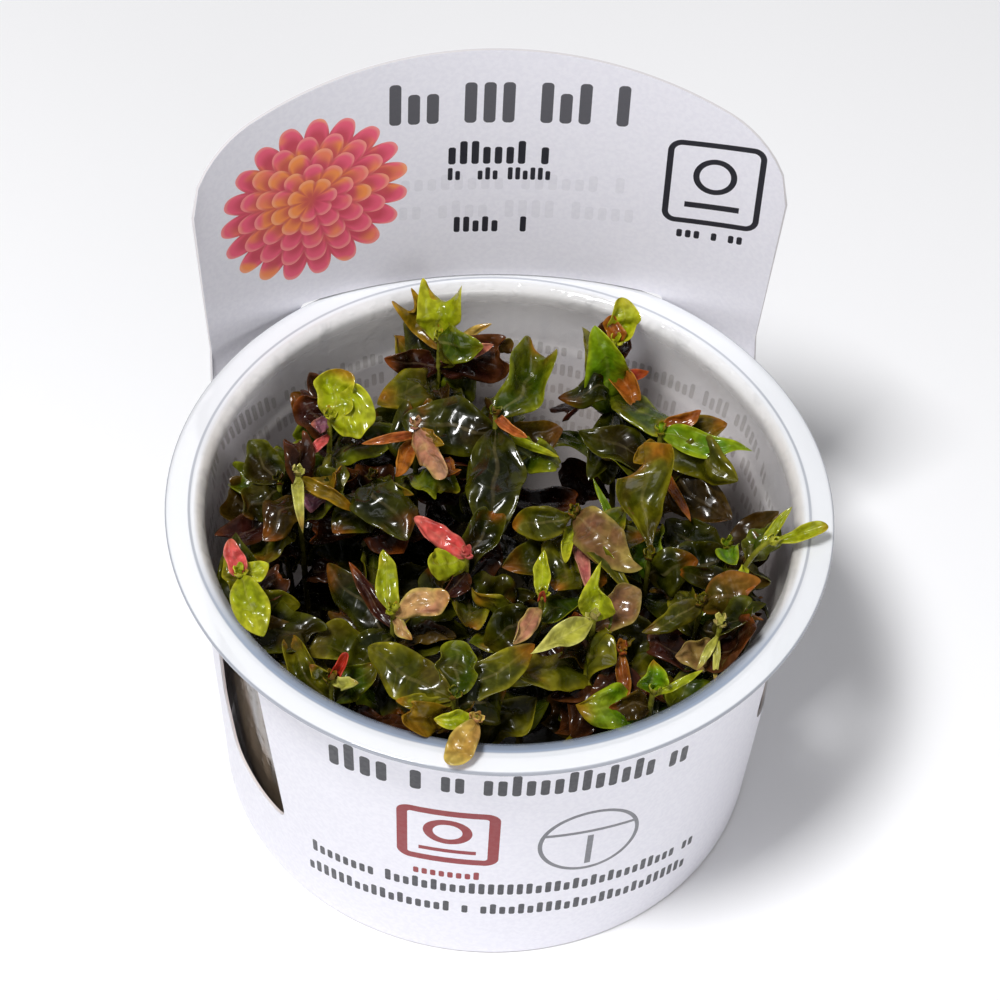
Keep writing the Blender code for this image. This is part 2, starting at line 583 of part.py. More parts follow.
def leaf_sheet(root, spec, facing, segments, columns):
    """Points of a leaf's middle surface, and its normals, as rows from the root to the tip."""
    tip = spec["tip_place"]
    chord = tip - root
    normal = facing - unit(chord) * np.dot(facing, unit(chord))
    normal = unit(normal)
    side = np.cross(unit(chord), normal)
    roll = math.radians(spec.get("roll", 0.0))
    normal, side = (normal * math.cos(roll) + side * math.sin(roll),
                    side * math.cos(roll) - normal * math.sin(roll))
    belly = math.log(0.5) / math.log(spec.get("belly", 0.45))
    blunt = spec.get("blunt", 0.7)
    arch = spec.get("arch", 0.0)
    hook = spec.get("hook", 0.0)
    cup = math.radians(spec.get("cup", 0.0))
    wave = spec.get("wave", 0.0)

    def midrib(t):
        return root + chord * t + normal * (arch * 4 * t * (1 - t) + hook * 10 * (t ** 3 - t * t))

    rows = []
    normals = []
    for i in range(segments + 1):
        t = i / segments
        along = unit(midrib(min(t + 0.02, 1.0)) - midrib(max(t - 0.02, 0.0)))
        up = unit(np.cross(side, along))
        half = spec["width"] / 2 * math.sin(math.pi * t ** belly) ** blunt if 0 < t < 1 else 0.0
        half = max(half, LEAF_ROOT_HALF_WIDTH * (1 - t) + LEAF_TIP_HALF_WIDTH * t)
        row = []
        row_normals = []
        bend = cup / 2 * min(half / (spec["width"] / 2), 1.0)
        for v in np.linspace(-1.0, 1.0, columns + 1):
            turn = bend * v
            reach = v if abs(bend) < 0.02 else math.sin(turn) / bend
            lift = 0.0 if abs(bend) < 0.02 else (1 - math.cos(turn)) / bend
            ripple = wave * abs(v) * math.sin(7.0 * t + 1.6 * v) * math.sin(math.pi * t)
            row.append(midrib(t) + side * half * reach + up * (half * lift + ripple))
            row_normals.append(unit(up * math.cos(turn) - side * math.sin(turn)))
        rows.append(row)
        normals.append(row_normals)
    return np.array(rows), np.array(normals)


def leaf_solid(rows, normals, thickness):
    """Closed mesh of a leaf: its upper and under faces, pointed at both ends, joined round the edge."""
    count, width = rows.shape[:2]
    upper = rows + normals * thickness / 2
    under = rows - normals * thickness / 2
    middle = [(upper, i, k) for i in range(1, count - 1) for k in range(width)]
    points = [side[i, k] for side, i, k in middle] + [upper[0].mean(0), upper[-1].mean(0)]
    below = len(points)
    points += [under[i, k] for side, i, k in middle] + [under[0].mean(0), under[-1].mean(0)]
    root = below - 2
    tip = below - 1
    last = (count - 3) * width
    top_faces = []
    for k in range(width - 1):
        top_faces.append((root, k + 1, k))
        top_faces.append((tip, last + k, last + k + 1))
        for i in range(count - 3):
            a = i * width + k
            top_faces.append((a, a + 1, a + width + 1, a + width))
    faces = top_faces + [tuple(below + i for i in reversed(face)) for face in top_faces]
    rim = [root] + [i * width + width - 1 for i in range(count - 2)] + [tip]
    rim += [i * width for i in range(count - 3, -1, -1)]
    for a, b in zip(rim, rim[1:] + rim[:1]):
        faces.append((b, a, below + a, below + b))
    return np.array(points), faces


def turned_tip(root, tip, azimuth, pitch, scale):
    """The leaf's tip after it swings round and up about its root, and shrinks."""
    reach = tip - root
    flat = math.hypot(reach[0], reach[1])
    heading = math.atan2(reach[1], reach[0]) + azimuth
    rise = math.atan2(reach[2], flat) + pitch
    length = np.linalg.norm(reach) * scale
    return root + length * np.array((math.cos(rise) * math.cos(heading),
                                     math.cos(rise) * math.sin(heading), math.sin(rise)))


def swings():
    """Ways to swing a leaf clear of its neighbours, the smallest first."""
    turns = [math.radians(a) for a in (0, 7, -7, 14, -14, 24, -24, 38, -38, 55, -55)]
    lifts = [math.radians(a) for a in (0, 7, -7, 14, -14, 24, -24, 38)]
    made = [(a, b, s) for a in turns for b in lifts for s in (1.0, 0.86, 0.72)]
    return sorted(made, key=lambda m: abs(m[0]) + abs(m[1]) + 2.0 * (1.0 - m[2]))


class Crowd:
    """The solids placed so far, asked whether a new one would touch those of another shoot."""

    def __init__(self):
        self.members = []

    def add(self, owner, points, faces):
        points = np.asarray(points, float)
        tree = BVHTree.FromPolygons([Vector(p) for p in points], faces)
        self.members.append((owner, points.min(0), points.max(0), tree))

    def touches(self, owner, points, faces):
        points = np.asarray(points, float)
        low = points.min(0)
        high = points.max(0)
        tree = None
        for other, other_low, other_high, other_tree in self.members:
            if other == owner or np.any(other_low > high) or np.any(other_high < low):
                continue
            tree = tree or BVHTree.FromPolygons([Vector(p) for p in points], faces)
            if tree.overlap(other_tree):
                return True
        return False


def tube(path, radius, sides=6):
    """Closed tube round a path of points, for testing clearances."""
    points = []
    for i, here in enumerate(path):
        along = unit(path[min(i + 1, len(path) - 1)] - path[max(i - 1, 0)])
        across = unit(np.cross(along, (0.3, 1.0, 0.1)))
        other = np.cross(along, across)
        for k in range(sides):
            turn = 2 * math.pi * k / sides
            points.append(here + radius * (across * math.cos(turn) + other * math.sin(turn)))
    faces = []
    for i in range(len(path) - 1):
        for k in range(sides):
            a = i * sides + k
            b = i * sides + (k + 1) % sides
            faces.append((a, b, b + sides, a + sides))
    return points, faces


def wall_guard(crowd):
    """The cup's inside and flange, kept clear of leaves."""
    def ring(radius, height):
        return [(radius * math.cos(a), radius * math.sin(a), height) for a in np.linspace(0, 2 * math.pi, 49)[:-1]]
    profile = cup_profile()[1:9]
    points = []
    for r, z in profile:
        points += ring(r, z)
    faces = []
    for i in range(len(profile) - 1):
        for k in range(48):
            a = i * 48 + k
            b = i * 48 + (k + 1) % 48
            faces.append((a, b, b + 48, a + 48))
    crowd.add("cup", points, faces)


def inside_cup(points):
    """Whether a leaf's points keep off the wall: inside it, or over the flange."""
    for x, y, z in points:
        reach = math.hypot(x, y)
        if z < CUP_HEIGHT + 0.4 and reach > inner_radius(z) - GAP:
            return False
        if reach > PANEL_APEX - 1.5 and y > 20.0:
            return False
    return True


def place_leaf(crowd, owner, root, spec, facing):
    """Swing the leaf until it is clear of the wall and of the other shoots."""
    wanted = spec["tip_place"]
    segments = 4 if np.linalg.norm(wanted - root) > LONG_LEAF else 3
    columns = 2 if spec["width"] > WIDE_LEAF and "kind" in spec else 1
    for azimuth, pitch, scale in swings():
        spec["tip_place"] = turned_tip(root, wanted, azimuth, pitch, scale)
        rows, normals = leaf_sheet(root, spec, facing, segments, columns)
        points, faces = leaf_solid(rows, normals, LEAF_THICKNESS + 2 * LEAF_CLEARANCE)
        if inside_cup(points) and not crowd.touches(owner, points, faces):
            crowd.add(owner, *leaf_solid(rows, normals, LEAF_THICKNESS))
            return leaf_solid(rows, normals, LEAF_THICKNESS)
    return None


def lower_pairs(spec, path, rng):
    """Opposite pairs of leaves further down the stem, each pair square to the one above."""
    made = []
    length = np.linalg.norm(np.diff(path, axis=0), axis=1).sum()
    quarter = rng.uniform(0, math.pi)
    for number, at in enumerate(spec["pairs"]):
        if at > length - 9.0:
            continue
        for half in (0, 1):
            root = stem_place(path, at + ROOT_SPACING * half)
            heading = quarter + number * math.pi / 2 + half * math.pi + rng.uniform(-1, 1) * PAIR_SPREAD
            rise = PAIR_RISE + rng.uniform(-0.3, 0.3)
            reach = PAIR_LENGTH * rng.uniform(0.8, 1.15)
            tip = root + reach * np.array((math.cos(rise) * math.cos(heading),
                                           math.cos(rise) * math.sin(heading), math.sin(rise)))
            made.append(dict(root=root, tip_place=tip, width=PAIR_WIDTH * rng.uniform(0.8, 1.2), arch=1.0))
    return made


def stem_solid(name, path, group):
    """The stem as a tapering tube with closed ends."""
    curve = bpy.data.curves.new(name, "CURVE")
    curve.dimensions = "3D"
    curve.bevel_depth = STEM_RADIUS * MM
    curve.bevel_resolution = STEM_SIDES_LEVEL
    curve.use_fill_caps = True
    spline = curve.splines.new("POLY")
    spline.points.add(len(path) - 1)
    for i, (place, here) in enumerate(zip(spline.points, path)):
        place.co = (*(here * MM), 1.0)
        place.radius = 0.8 + 0.3 * i / (len(path) - 1)
    drawn = bpy.data.objects.new(name, curve)
    group.objects.link(drawn)
    solid = bpy.data.objects.new(name, evaluated_mesh(drawn))
    group.objects.link(solid)
    solid.matrix_world = drawn.matrix_world.copy()
    bpy.data.objects.remove(drawn)
    bpy.data.curves.remove(curve)
    solid.name = name
    return solid


def grow_shoots(group, cutters, materials):
    """Every shoot: its stem and leaves are worked out first, then fused into one solid."""
    crowd = Crowd()
    wall_guard(crowd)
    paths = {}
    for name, spec in SHOOTS.items():
        paths[name] = stem_path(spec, 24)
        crowd.add(name, *tube(stem_path(spec, STEM_POINTS), STEM_RADIUS + 0.2))
    blades = {name: [] for name in SHOOTS}
    for name, spec in SHOOTS.items():
        for number, blade in enumerate(spec["leaves"]):
            blade["tip_place"] = np.array(blade["tip"], float) + (0.0, 0.0, CUP_HEIGHT)
            root = stem_place(paths[name], blade["at"] + ROOT_SPACING * number)
            blades[name].append(place_leaf(crowd, name, root, blade, VIEWER))
    rng = random.Random(PAIR_SEED)
    for name, spec in SHOOTS.items():
        for blade in lower_pairs(spec, paths[name], rng):
            blades[name].append(place_leaf(crowd, name, blade["root"], blade, UPWARD))
    for name, spec in SHOOTS.items():
        grown = [blade for blade in blades[name] if blade]
        print(name, "leaves", len(grown), "left out", len(blades[name]) - len(grown))
        stem = stem_solid(name, stem_path(spec, STEM_POINTS), group)
        for blade_points, blade_faces in grown:
            blade = mesh_object(name + "_leaf", blade_points, blade_faces, cutters)
            blade.hide_render = True
            blade.display_type = "WIRE"
            fuse = stem.modifiers.new("Fuse leaf", "BOOLEAN")
            fuse.operation = "UNION"
            fuse.solver = "MANIFOLD"
            fuse.object = blade
        fused = without_folds(evaluated_mesh(stem))
        stem.modifiers.clear()
        stem.data = fused
        finish(stem, materials[spec["colour"]])


def main():
    clean_scene()
    pieces = collection("rotala_pot")
    cutters = collection("cutters")
    materials = {name: material(name) for name in COLOURS}
    finish(turned("cup", cup_profile(), CUP_SIDES, pieces), materials["clear_plastic"])
    finish(turned("culture_gel", gel_profile(), CUP_SIDES, pieces), materials["culture_gel"])
    finish(card_sleeve(pieces, cutters), materials["white_card"])
    grow_shoots(pieces, cutters, materials)


main()
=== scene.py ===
"""The looks of a pot of rotala: wet coloured leaves, a clear cup, culture gel and a printed card sleeve.

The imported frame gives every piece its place. Lengths are in millimetres while shapes are worked
out, and the meshes are made in metres. Heights in the table of shoots are measured from the rim.
"""

import math
import random

import bmesh
import bpy
import numpy as np
from mathutils import Matrix, Vector
from mathutils.bvhtree import BVHTree


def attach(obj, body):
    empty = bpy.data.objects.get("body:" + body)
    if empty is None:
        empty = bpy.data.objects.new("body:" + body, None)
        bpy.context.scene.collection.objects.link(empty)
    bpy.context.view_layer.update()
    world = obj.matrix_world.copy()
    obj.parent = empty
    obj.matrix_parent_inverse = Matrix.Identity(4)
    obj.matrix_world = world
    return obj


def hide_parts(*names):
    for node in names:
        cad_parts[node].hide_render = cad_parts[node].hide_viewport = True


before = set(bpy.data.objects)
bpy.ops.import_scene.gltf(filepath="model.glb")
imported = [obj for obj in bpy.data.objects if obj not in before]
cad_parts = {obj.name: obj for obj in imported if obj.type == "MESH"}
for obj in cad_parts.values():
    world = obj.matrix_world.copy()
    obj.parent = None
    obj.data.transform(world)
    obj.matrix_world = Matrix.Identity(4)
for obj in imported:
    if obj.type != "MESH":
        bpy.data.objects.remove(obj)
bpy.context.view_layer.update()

MM = 0.001

# Cup
CUP_HEIGHT = 59.0
FLANGE_RADIUS = 50.0
FLANGE_THICKNESS = 1.0
MOUTH_RADIUS = 44.1
WALL = 0.6
SHOULDER_DEPTH = 11.0
SHOULDER_STEP = 0.7
WALL_TAPER = 0.05
BASE_ROUND = 1.6
# Radius of a grey line painted on the rim as the shade of a groove
GROOVE_SHADE_RADIUS = 46.4
# Directions from the cup's axis: the wall behind the left window, where the shaded inside is painted on,
# and the painted shadow strip at its edge
WINDOW_VIEW_SIDE = (-0.81, -0.59)
WINDOW_VIEW_EDGE = (-0.66, -0.75)
CUP_STEPS = 144
CUP_FLOOR = WALL + 0.4
GUARD_SIDES = 48

# Gel
GEL_DEPTH = 6.0
GAP = 0.3

# Card sleeve
CARD = 0.5
CARD_RIM_RADIUS = 45.6
CARD_TAPER = 0.0475
CARD_FOOT = 0.3
BAND_TOP = CUP_HEIGHT - 1.6
PANEL_TURN = math.radians(-6.6)
PANEL_TOP = CUP_HEIGHT + 45.6
PANEL_HALF_WIDTH = 46.0
PANEL_WIDENING = 0.0014
PANEL_ARCH_RADIUS = 115.0
PANEL_CORNER = 11.0
PANEL_CURVE_RADIUS = 75.0
PANEL_APEX = 47.0
PANEL_LEAN = 0.03
NOTCH_DEPTH = 7.0
NOTCH_END = 57.0
SLOT_HALF_LENGTH = 29.8
SLOT_LOW = CUP_HEIGHT - 1.4
SLOT_HIGH = CUP_HEIGHT + 0.4
HALF_ROUND = math.pi * CARD_RIM_RADIUS
SEAM = 70.0
CARD_STEP = 2.0
LEFT_WINDOW = ((-86.6, 50.5), (-99.6, 50.5), (-103.6, 17.0), (-96.5, 17.2), (-88.6, 19.2), (-85.4, 30.0))
RIGHT_WINDOW = ((79.0, 50.5), (95.2, 50.5), (95.0, 30.0), (86.0, 22.5), (79.0, 25.0))

# Print: rows as left end, number of strokes, foot, head, pitch. The band's rows count their heights
# from BAND_FOOT, so that they never show on the panel's side of the card.
BAND_FOOT = -200.0
SMALL_FOOT = 27.0
SMALL_SPACING = 3.9
PANEL_ROW_RISE = 3.0 / 900.0
BAND_ROW_DROP = 3.4 / 900.0
BAND_ROW_TILT = 0.034
PRINT_ROWS = (
    (-18.4, 14, 90.8, 98.6, 2.9), (-6.0, 9, 82.6, 87.2, 1.8), (-5.9, 14, 79.4, 81.9, 1.17),
    (-4.8, 9, 68.6, 71.8, 1.5), (30.6, 8, 69.8, 71.9, 1.4),
    (-29.5, 6, -154.0, -147.4, 2.6), (-11.8, 20, -153.6, -148.2, 2.05), (-34.0, 45, -181.8, -178.7, 1.5),
    (-35.0, 45, -187.7, -184.7, 1.5), (-15.8, 8, -177.6, -175.4, 1.35),
    (-78.0, 107, -99.4, -97.1, 1.35),
)
BACK_ROWS = ((-15.5, 18, 77.4, 80.6, 2.1), (-20.0, 21, 71.6, 75.2, 2.1))
FLOWER_PLACE = (-27.5, 80.5)
FLOWER_LAYERS = (15.6, 12.6, 9.8, 7.0, 4.2)
DARK_SIGN = (36.0, 81.0)
RED_SIGN = (-10.3, 34.0)
TUB_SIGN = (11.6, 32.0)
TUB_RADIUS = 7.9

# Shoots
STEM_RADIUS = 0.65
STEM_POINTS = 5
ROOT_SPACING = 0.4
LEAF_THICKNESS = 0.5
LONG_LEAF = 11.5
WIDE_LEAF = 3.1
LEAF_ROOT_HALF_WIDTH = 0.35
LEAF_TIP_HALF_WIDTH = 0.2
LEAF_CLEARANCE = 0.35
VIEWER = np.array((0.0, -0.651, 0.759))
UPWARD = np.array((0.0, 0.0, 1.0))
PAIR_LENGTH = 13.0
PAIR_WIDTH = 7.6
PAIR_RISE = math.radians(14)
PAIR_SPREAD = math.radians(28)
PAIR_SEED = 17
FILLING_PLACES = (6.0, 8.5, 12.5, 15.0, 18.0, 23.5, 27.0, 31.0)
FILLING_LENGTH = 11.0
FILLING_WIDTH = 5.8

# Heights between which painted shade darkens the leaves deep in the cup, fading out towards the top
SHADE_FULL_HEIGHT = 34.0
SHADE_FREE_HEIGHT = 60.0

# The fine leaves drawn in the place of the plain ones
BLADE_THICKNESS = 0.3
BLADE_ROWS = 34
BLADE_ROUND = 26
LEAFLET_ROWS = 9
LEAFLET_ROUND = 8
STEM_SIDES = 12

# Softboxes, in metres: name, place, size, watts; and the camera
LIGHTS = (
    ("key", (-0.27, -0.26, 0.95), (0.2, 0.2), 9.2),
    ("front", (0.34, -0.82, 0.4), (0.7, 0.4), 2.4),
)
LIGHT_AIM = (0.0, 0.0, 0.05)
CAMERA_PLACE = (0.0, -0.2603, 0.3627)
CAMERA_TARGET = (0.0, 0.0, 0.059)
CAMERA_ROLL = math.radians(3.3)
CAMERA_LENS = 96.3
CAMERA_SHIFT = (-0.0008, -0.0031)


def leaf(kind, at, tip, width, **shape):
    """One leaf: its colour, how far down the stem it grows, where its tip is, and how wide it is."""
    return dict(kind=kind, at=at, tip=tip, width=width, **shape)


def shoot(foot, top, leaves, colour="leaf_olive", heading=(0, 0, 18), pairs=(10,)):
    """One shoot: where it stands on the gel, where its stem ends, and its leaves at the top."""
    return dict(foot=foot, top=top, leaves=leaves, colour=colour, heading=heading, pairs=pairs)


SHOOTS = {
    "shoot_back_left": shoot((-12, 24), (-11, 31, 1), [
        leaf("lime", 1, (-10.5, 35.5, 8), 7.5, cup=50, belly=0.62, blunt=0.4, notch=3.4, edge_wave=0.5,
             fold=0.2),
        leaf("amber", 2, (-17, 35.5, 5.5), 5, cup=90, belly=0.6, blunt=0.5, notch=2.8, edge_wave=0.4),
        leaf("green", 1, (-4, 27, 4), 7, arch=1.5, cup=-60, belly=0.35, curl=1.6, twist=-20),
        leaf("salmon", 1, (-3, 33, 3), 1.8),
        leaf("pink", 3, (-2.5, 28.5, 3), 3, cup=40),
        leaf("maroon", 5, (0.5, 29.5, 1), 8, cup=-70, arch=1, wave=0.8, belly=0.6, notch=2.0, crumple=1.5,
             twist=30),
        leaf("maroon", 4, (-19.5, 28, -1), 5, cup=60),
        leaf("olive", 6, (-20, 20, -3), 7.5, cup=-50, arch=2),
        leaf("brown", 8, (-9, 21, -6), 4, arch=1.5, cup=40),
    ], "leaf_olive"),
    "shoot_back_middle": shoot((0, 14), (-1.5, 15, 2), [
        leaf("green", 0.5, (6.5, 27, 4), 8.5, cup=110, belly=0.55, blunt=0.5, wave=0.6, notch=1.6),
        leaf("dark", 3, (-0.5, -4, -6), 9.5, arch=3, cup=-50, belly=0.5),
        leaf("orange", 0.5, (3.5, 9.5, 3), 2.2, cup=150, arch=0.8),
        leaf("lime", 3, (8.5, 9.5, -1), 1.4, arch=-1),
        leaf("dark", 3, (-16, 17, -1), 9.5, arch=1.5, cup=-40),
        leaf("brown", 6, (9, 17, -3), 7.5, cup=50, wave=0.7),
    ], "leaf_green", pairs=(10, 21)),
    "shoot_back_right": shoot((19, 20), (16.5, 29.5, 4), [
        leaf("lime", 0.5, (17, 34, 9.5), 5, cup=60, belly=0.55, blunt=0.45),
        leaf("rust", 0.5, (15.5, 31.5, 8), 3.2, cup=60, blunt=0.5),
        leaf("bright", 14, (13, 30, 7), 8, cup=-70, arch=2.5, wave=0.9, belly=0.5),
        leaf("red", 8, (22, 28, -0.5), 2.6, cup=60),
        leaf("dark", 8, (8, 23.5, -3), 5, arch=2.5, cup=-60),
        leaf("dark", 12, (13.5, 13, -10), 5.5, arch=1.5, cup=-40),
    ], "leaf_green", pairs=(10, 21)),
    "shoot_right_back": shoot((25, 14), (24, 16, -1), [
        leaf("bright", 0.5, (38, 13, -1), 4.6, arch=1.5, cup=70, belly=0.35, blunt=1.0, hook=1.0),
        leaf("rust", 0.5, (30, 19, 1), 3, cup=60),
        leaf("olive", 2, (36, 8.5, -3), 7.5, cup=-50, arch=1),
        leaf("amber", 2, (20, 11, -3), 3.4, cup=80),
        leaf("brown", 6, (35.5, 5, -8), 8.5, cup=-60),
        leaf("rust", 5, (29, 2.5, -6), 1.8, cup=60),
    ], "leaf_olive", pairs=(10, 21)),
    "shoot_pitcher": shoot((22, -3), (22.8, -5.5, -5), [
        leaf("olive", 0.5, (21, 6, 5), 11.5, cup=120, belly=0.82, blunt=0.4, notch=1.2, edge_wave=0.4,
             skew=2.8, fold=-0.1, twist=14),
        leaf("bright", 10, (14, 10, -6), 1.8),
        leaf("dark", 4, (30, -6, -5), 7.5, cup=-50, arch=2),
    ], "leaf_olive", pairs=(10, 21)),
    "shoot_middle": shoot((10, -3), (11, -4, 2), [
        leaf("olive", 0.5, (2, -6.5, 1), 5.5, arch=2, cup=-60, belly=0.6),
        leaf("pinkbrown", 0.5, (20, -13.5, 3), 7.5, cup=-80, arch=1.5, belly=0.5, blunt=0.5, edge_wave=0.6,
             twist=40, crumple=0.5, skew=1.5),
        leaf("lime", 2, (10, -12, 0), 2.6, cup=150),
        leaf("pink", 4, (14, -15.5, -3), 2.2, arch=1, cup=80),
        leaf("olive", 2, (21, -18, -1), 2.6, arch=3, cup=60),
    ], "leaf_brown"),
    "shoot_beak": shoot((13, -20), (14.3, -23.5, 2), [
        leaf("pale", 0.5, (5.5, -31, 2.5), 4, cup=60, belly=0.4, blunt=1.1),
        leaf("lime", 0.5, (14.8, -19, 6.5), 5.5, cup=40, belly=0.35, blunt=1.2, fold=1.0, twist=40,
             skew=-2.0),
        leaf("pinkbrown", 2, (21, -17, 1), 6, cup=80, belly=0.55, edge_wave=0.5),
        leaf("olive", 6, (20, -29, -6), 9, arch=2, cup=-40),
    ], "leaf_lime"),
    "shoot_middle_thin": shoot((5, -14), (6.8, -18.5, 0), [
        leaf("lime", 0.5, (6.8, -11.5, 2), 2.6, cup=60),
        leaf("red", 0.5, (7, -19.5, 2.5), 1.4, cup=120),
        leaf("dustypink", 2, (3, -26, -2), 3, cup=80),
        leaf("dark", 4, (-1, -22, -8), 7, arch=2, cup=-40),
    ], "leaf_olive", pairs=(10, 21)),
    "shoot_centre_left": shoot((-4, -8), (-4.5, -11.5, 0), [
        leaf("redpink", 0.5, (-12.5, -7.5, 3), 3.8, cup=-110, arch=0.8, blunt=0.5),
        leaf("lime", 1.5, (-10, -15, 1.5), 5.4, cup=-60, blunt=0.5),
        leaf("maroon", 3, (-7.5, -17, -3), 3.6, cup=60),
        leaf("dark", 6, (3, -12, -10), 8, arch=2, cup=-40),
    ], "leaf_olive"),
    "shoot_left_lime": shoot((-28, 10), (-26.7, 12.5, 2), [
        leaf("lime", 0.5, (-24.5, 17.5, 7), 6.5, cup=60, belly=0.55, blunt=0.4, edge_wave=0.4),
        leaf("lime", 0.5, (-20, 14, 3), 8, cup=-40, belly=0.6, blunt=0.35, edge_wave=0.4),
        leaf("purple", 1, (-29.5, 11.5, 1), 2.6),
        leaf("redpink", 3, (-31, 8, -4), 1.8, arch=2, cup=120),
    ], "leaf_lime", pairs=(10, 21)),
    "shoot_pink_fold": shoot((-13, 10), (-13.5, 12.5, 1), [
        leaf("dustypink", 0.5, (-9, 1, 2), 4.6, cup=-130, belly=0.5, blunt=0.5, edge_wave=0.5),
        leaf("amber", 1, (-9, 8, 2), 2.6, cup=60),
        leaf("rust", 2, (-16, 4.5, -2), 3, cup=80),
        leaf("orange", 1, (-21.5, 9, 0), 1.8, arch=2, cup=120),
    ], "leaf_brown"),
    "shoot_dark_big": shoot((-19, 2), (-19.5, 5, -3), [
        leaf("dark", 0.5, (-13.5, -7, -3), 8.5, cup=-50, arch=2.5, belly=0.55),
        leaf("olive", 0.5, (-13, -1, 0.5), 2, cup=60),
        leaf("dark", 4, (-25, -3, -7), 7, cup=-40, arch=1.5),
    ], "leaf_green", pairs=(10, 21)),
    "shoot_left_curl": shoot((-29, 0), (-30.5, 1.5, 1), [
        leaf("pale", 0.5, (-29, -7.5, -2), 1.9, arch=2, cup=60, hook=-1),
        leaf("amber", 0.5, (-21.5, -2, -3), 2.4, arch=2.5, cup=80),
        leaf("brown", 5, (-35, -7, -5), 6, cup=-50, arch=1),
        leaf("purple", 4, (-26, 1, -4), 3.5),
    ], "leaf_brown"),
    "shoot_left_dark": shoot((-32, 6), (-33.5, 2.5, -2), [
        leaf("dark", 0.5, (-38.5, 7.5, 1), 6.5, cup=60, belly=0.45, edge_wave=0.5),
        leaf("dark", 2, (-38.5, -3, -4), 6.5, cup=-40),
    ], "leaf_green"),
    "shoot_left_front": shoot((-34, -16), (-37, -19, 2), [
        leaf("lime", 0.5, (-33, -27.5, -3), 5.6, arch=1.5, cup=-40, belly=0.55),
        leaf("redpink", 0.5, (-38.5, -16, 6), 3.4, cup=110, blunt=0.5),
        leaf("lime", 1, (-33, -17, 2), 3.6, cup=60),
        leaf("olive", 7, (-28.5, -18, -6), 5.5, cup=-40, arch=1),
        leaf("brown", 8, (-27, -27, -7), 6.5, cup=40, arch=1),
    ], "leaf_lime"),
    "shoot_vee": shoot((-14, -21), (-14.5, -23.5, 1), [
        leaf("lime", 0.5, (-16.5, -16, 5.5), 3.6, cup=60),
        leaf("dustypink", 0.5, (-6.5, -22.5, 4), 4.6, cup=-60, belly=0.6, blunt=0.5),
        leaf("dustypink", 1, (-11.5, -27, -1), 2, cup=80),
        leaf("maroon", 3, (-21.5, -15, 1), 2.4, cup=80),
        leaf("dark", 7, (-25, -11.5, -4), 7, cup=-60, arch=1.5),
    ], "leaf_lime", pairs=(10, 21)),
    "shoot_front_buds": shoot((-22, -30), (-22.5, -34, -2), [
        leaf("olive", 0.5, (-25.5, -34, 1), 2.4, cup=80),
        leaf("pale", 0.5, (-18.5, -36, 0), 2, cup=40),
        leaf("berry", 1, (-20.5, -31.5, 1), 2.6, cup=200, blunt=0.4),
    ], "leaf_brown"),
    "shoot_front_rosette": shoot((-5, -34), (-5, -39, 2.5), [
        leaf("green", 0.5, (-5, -32, 6), 8, cup=150, belly=0.6, blunt=0.4, arch=-1, edge_wave=0.5),
        leaf("olive", 0.5, (-17.5, -31, 2), 7.5, arch=1.5, cup=-60, belly=0.5, wave=0.8),
        leaf("olive", 1, (-13, -39, 0.5), 2.8, arch=1, cup=50),
        leaf("dark", 2, (4.5, -40.5, -3), 8, arch=2, cup=-50),
        leaf("olive", 1, (6, -28.5, 1.5), 5.5, arch=1, cup=-40),
        leaf("amber", 2.5, (-11, -40.5, -1), 2.4, cup=80),
    ], "leaf_green"),
    "shoot_over_front": shoot((0, -34), (-1.5, -43, 3.0), [
        leaf("salmon", 0.5, (-5.2, -50, 1.6), 4.6, cup=-60, belly=0.62, blunt=0.5, arch=0.8),
        leaf("lime", 2, (-7.5, -42.5, 1.5), 3, cup=60),
    ], "leaf_lime", heading=(1.5, -4, 6), pairs=(18,)),
    "shoot_saddle": shoot((28, -15), (30, -17, -1), [
        leaf("olive", 0.5, (21.5, -22.5, -2), 3.8, cup=-60, arch=0.8, belly=0.35),
        leaf("tan", 0.5, (38.5, -17, 0.5), 8, cup=-100, belly=0.6, blunt=0.4, arch=1, edge_wave=0.5,
             notch=2.4, twist=-25, curl=0.2),
        leaf("bright", 4, (40, -13.5, -5), 3, cup=40),
        leaf("brown", 6, (34, -24, -8), 7, cup=-40),
    ], "leaf_brown"),
    "shoot_over_right": shoot((34, -6), (40, -7, 1.5), [
        leaf("lime", 0.5, (48.5, -4.6, 3.0), 2.6, cup=60, belly=0.7, blunt=0.5),
        leaf("lime", 1.5, (43, -2.5, 4.5), 1.6, cup=60),
        leaf("lime", 6, (35.5, -11, -3), 1.7, cup=40),
    ], "leaf_lime", heading=(5, 0, 4), pairs=(20,)),
    "shoot_cut_stem": shoot((30, -22), (32.5, -23, 2), [
        leaf("pale", 3, (29.5, -28, -3), 1.3, arch=0.6),
        leaf("pale", 3, (33, -29, -4), 1.1, arch=0.8),
        leaf("pinkbrown", 5, (26.5, -25, -4), 5, cup=60),
    ], "leaf_lime"),
    "shoot_front_right": shoot((20.5, -30), (23, -34.5, 0), [
        leaf("bright", 0.5, (22.8, -31.5, 3.5), 4.6, cup=50, belly=0.4, blunt=1.0),
        leaf("lime", 0.5, (30, -31, 1), 1.2, arch=1),
        leaf("brown", 3, (17, -35.5, -3), 5, cup=80),
    ], "leaf_green"),
    "shoot_front_brown": shoot((17, -28), (18.5, -26.5, -1), [
        leaf("rust", 0.5, (19.5, -34.5, -5), 2.2, cup=60),
        leaf("maroon", 3, (10, -31, -7), 8, cup=-40, arch=1.5),
        leaf("maroon", 5, (12, -36, -10), 7, cup=-40, arch=1),
    ], "leaf_brown"),
    "shoot_right_glass": shoot((33, -3), (34.5, -2.5, -5), [
        leaf("bright", 0.5, (35.5, -8, -3), 3.6, cup=30),
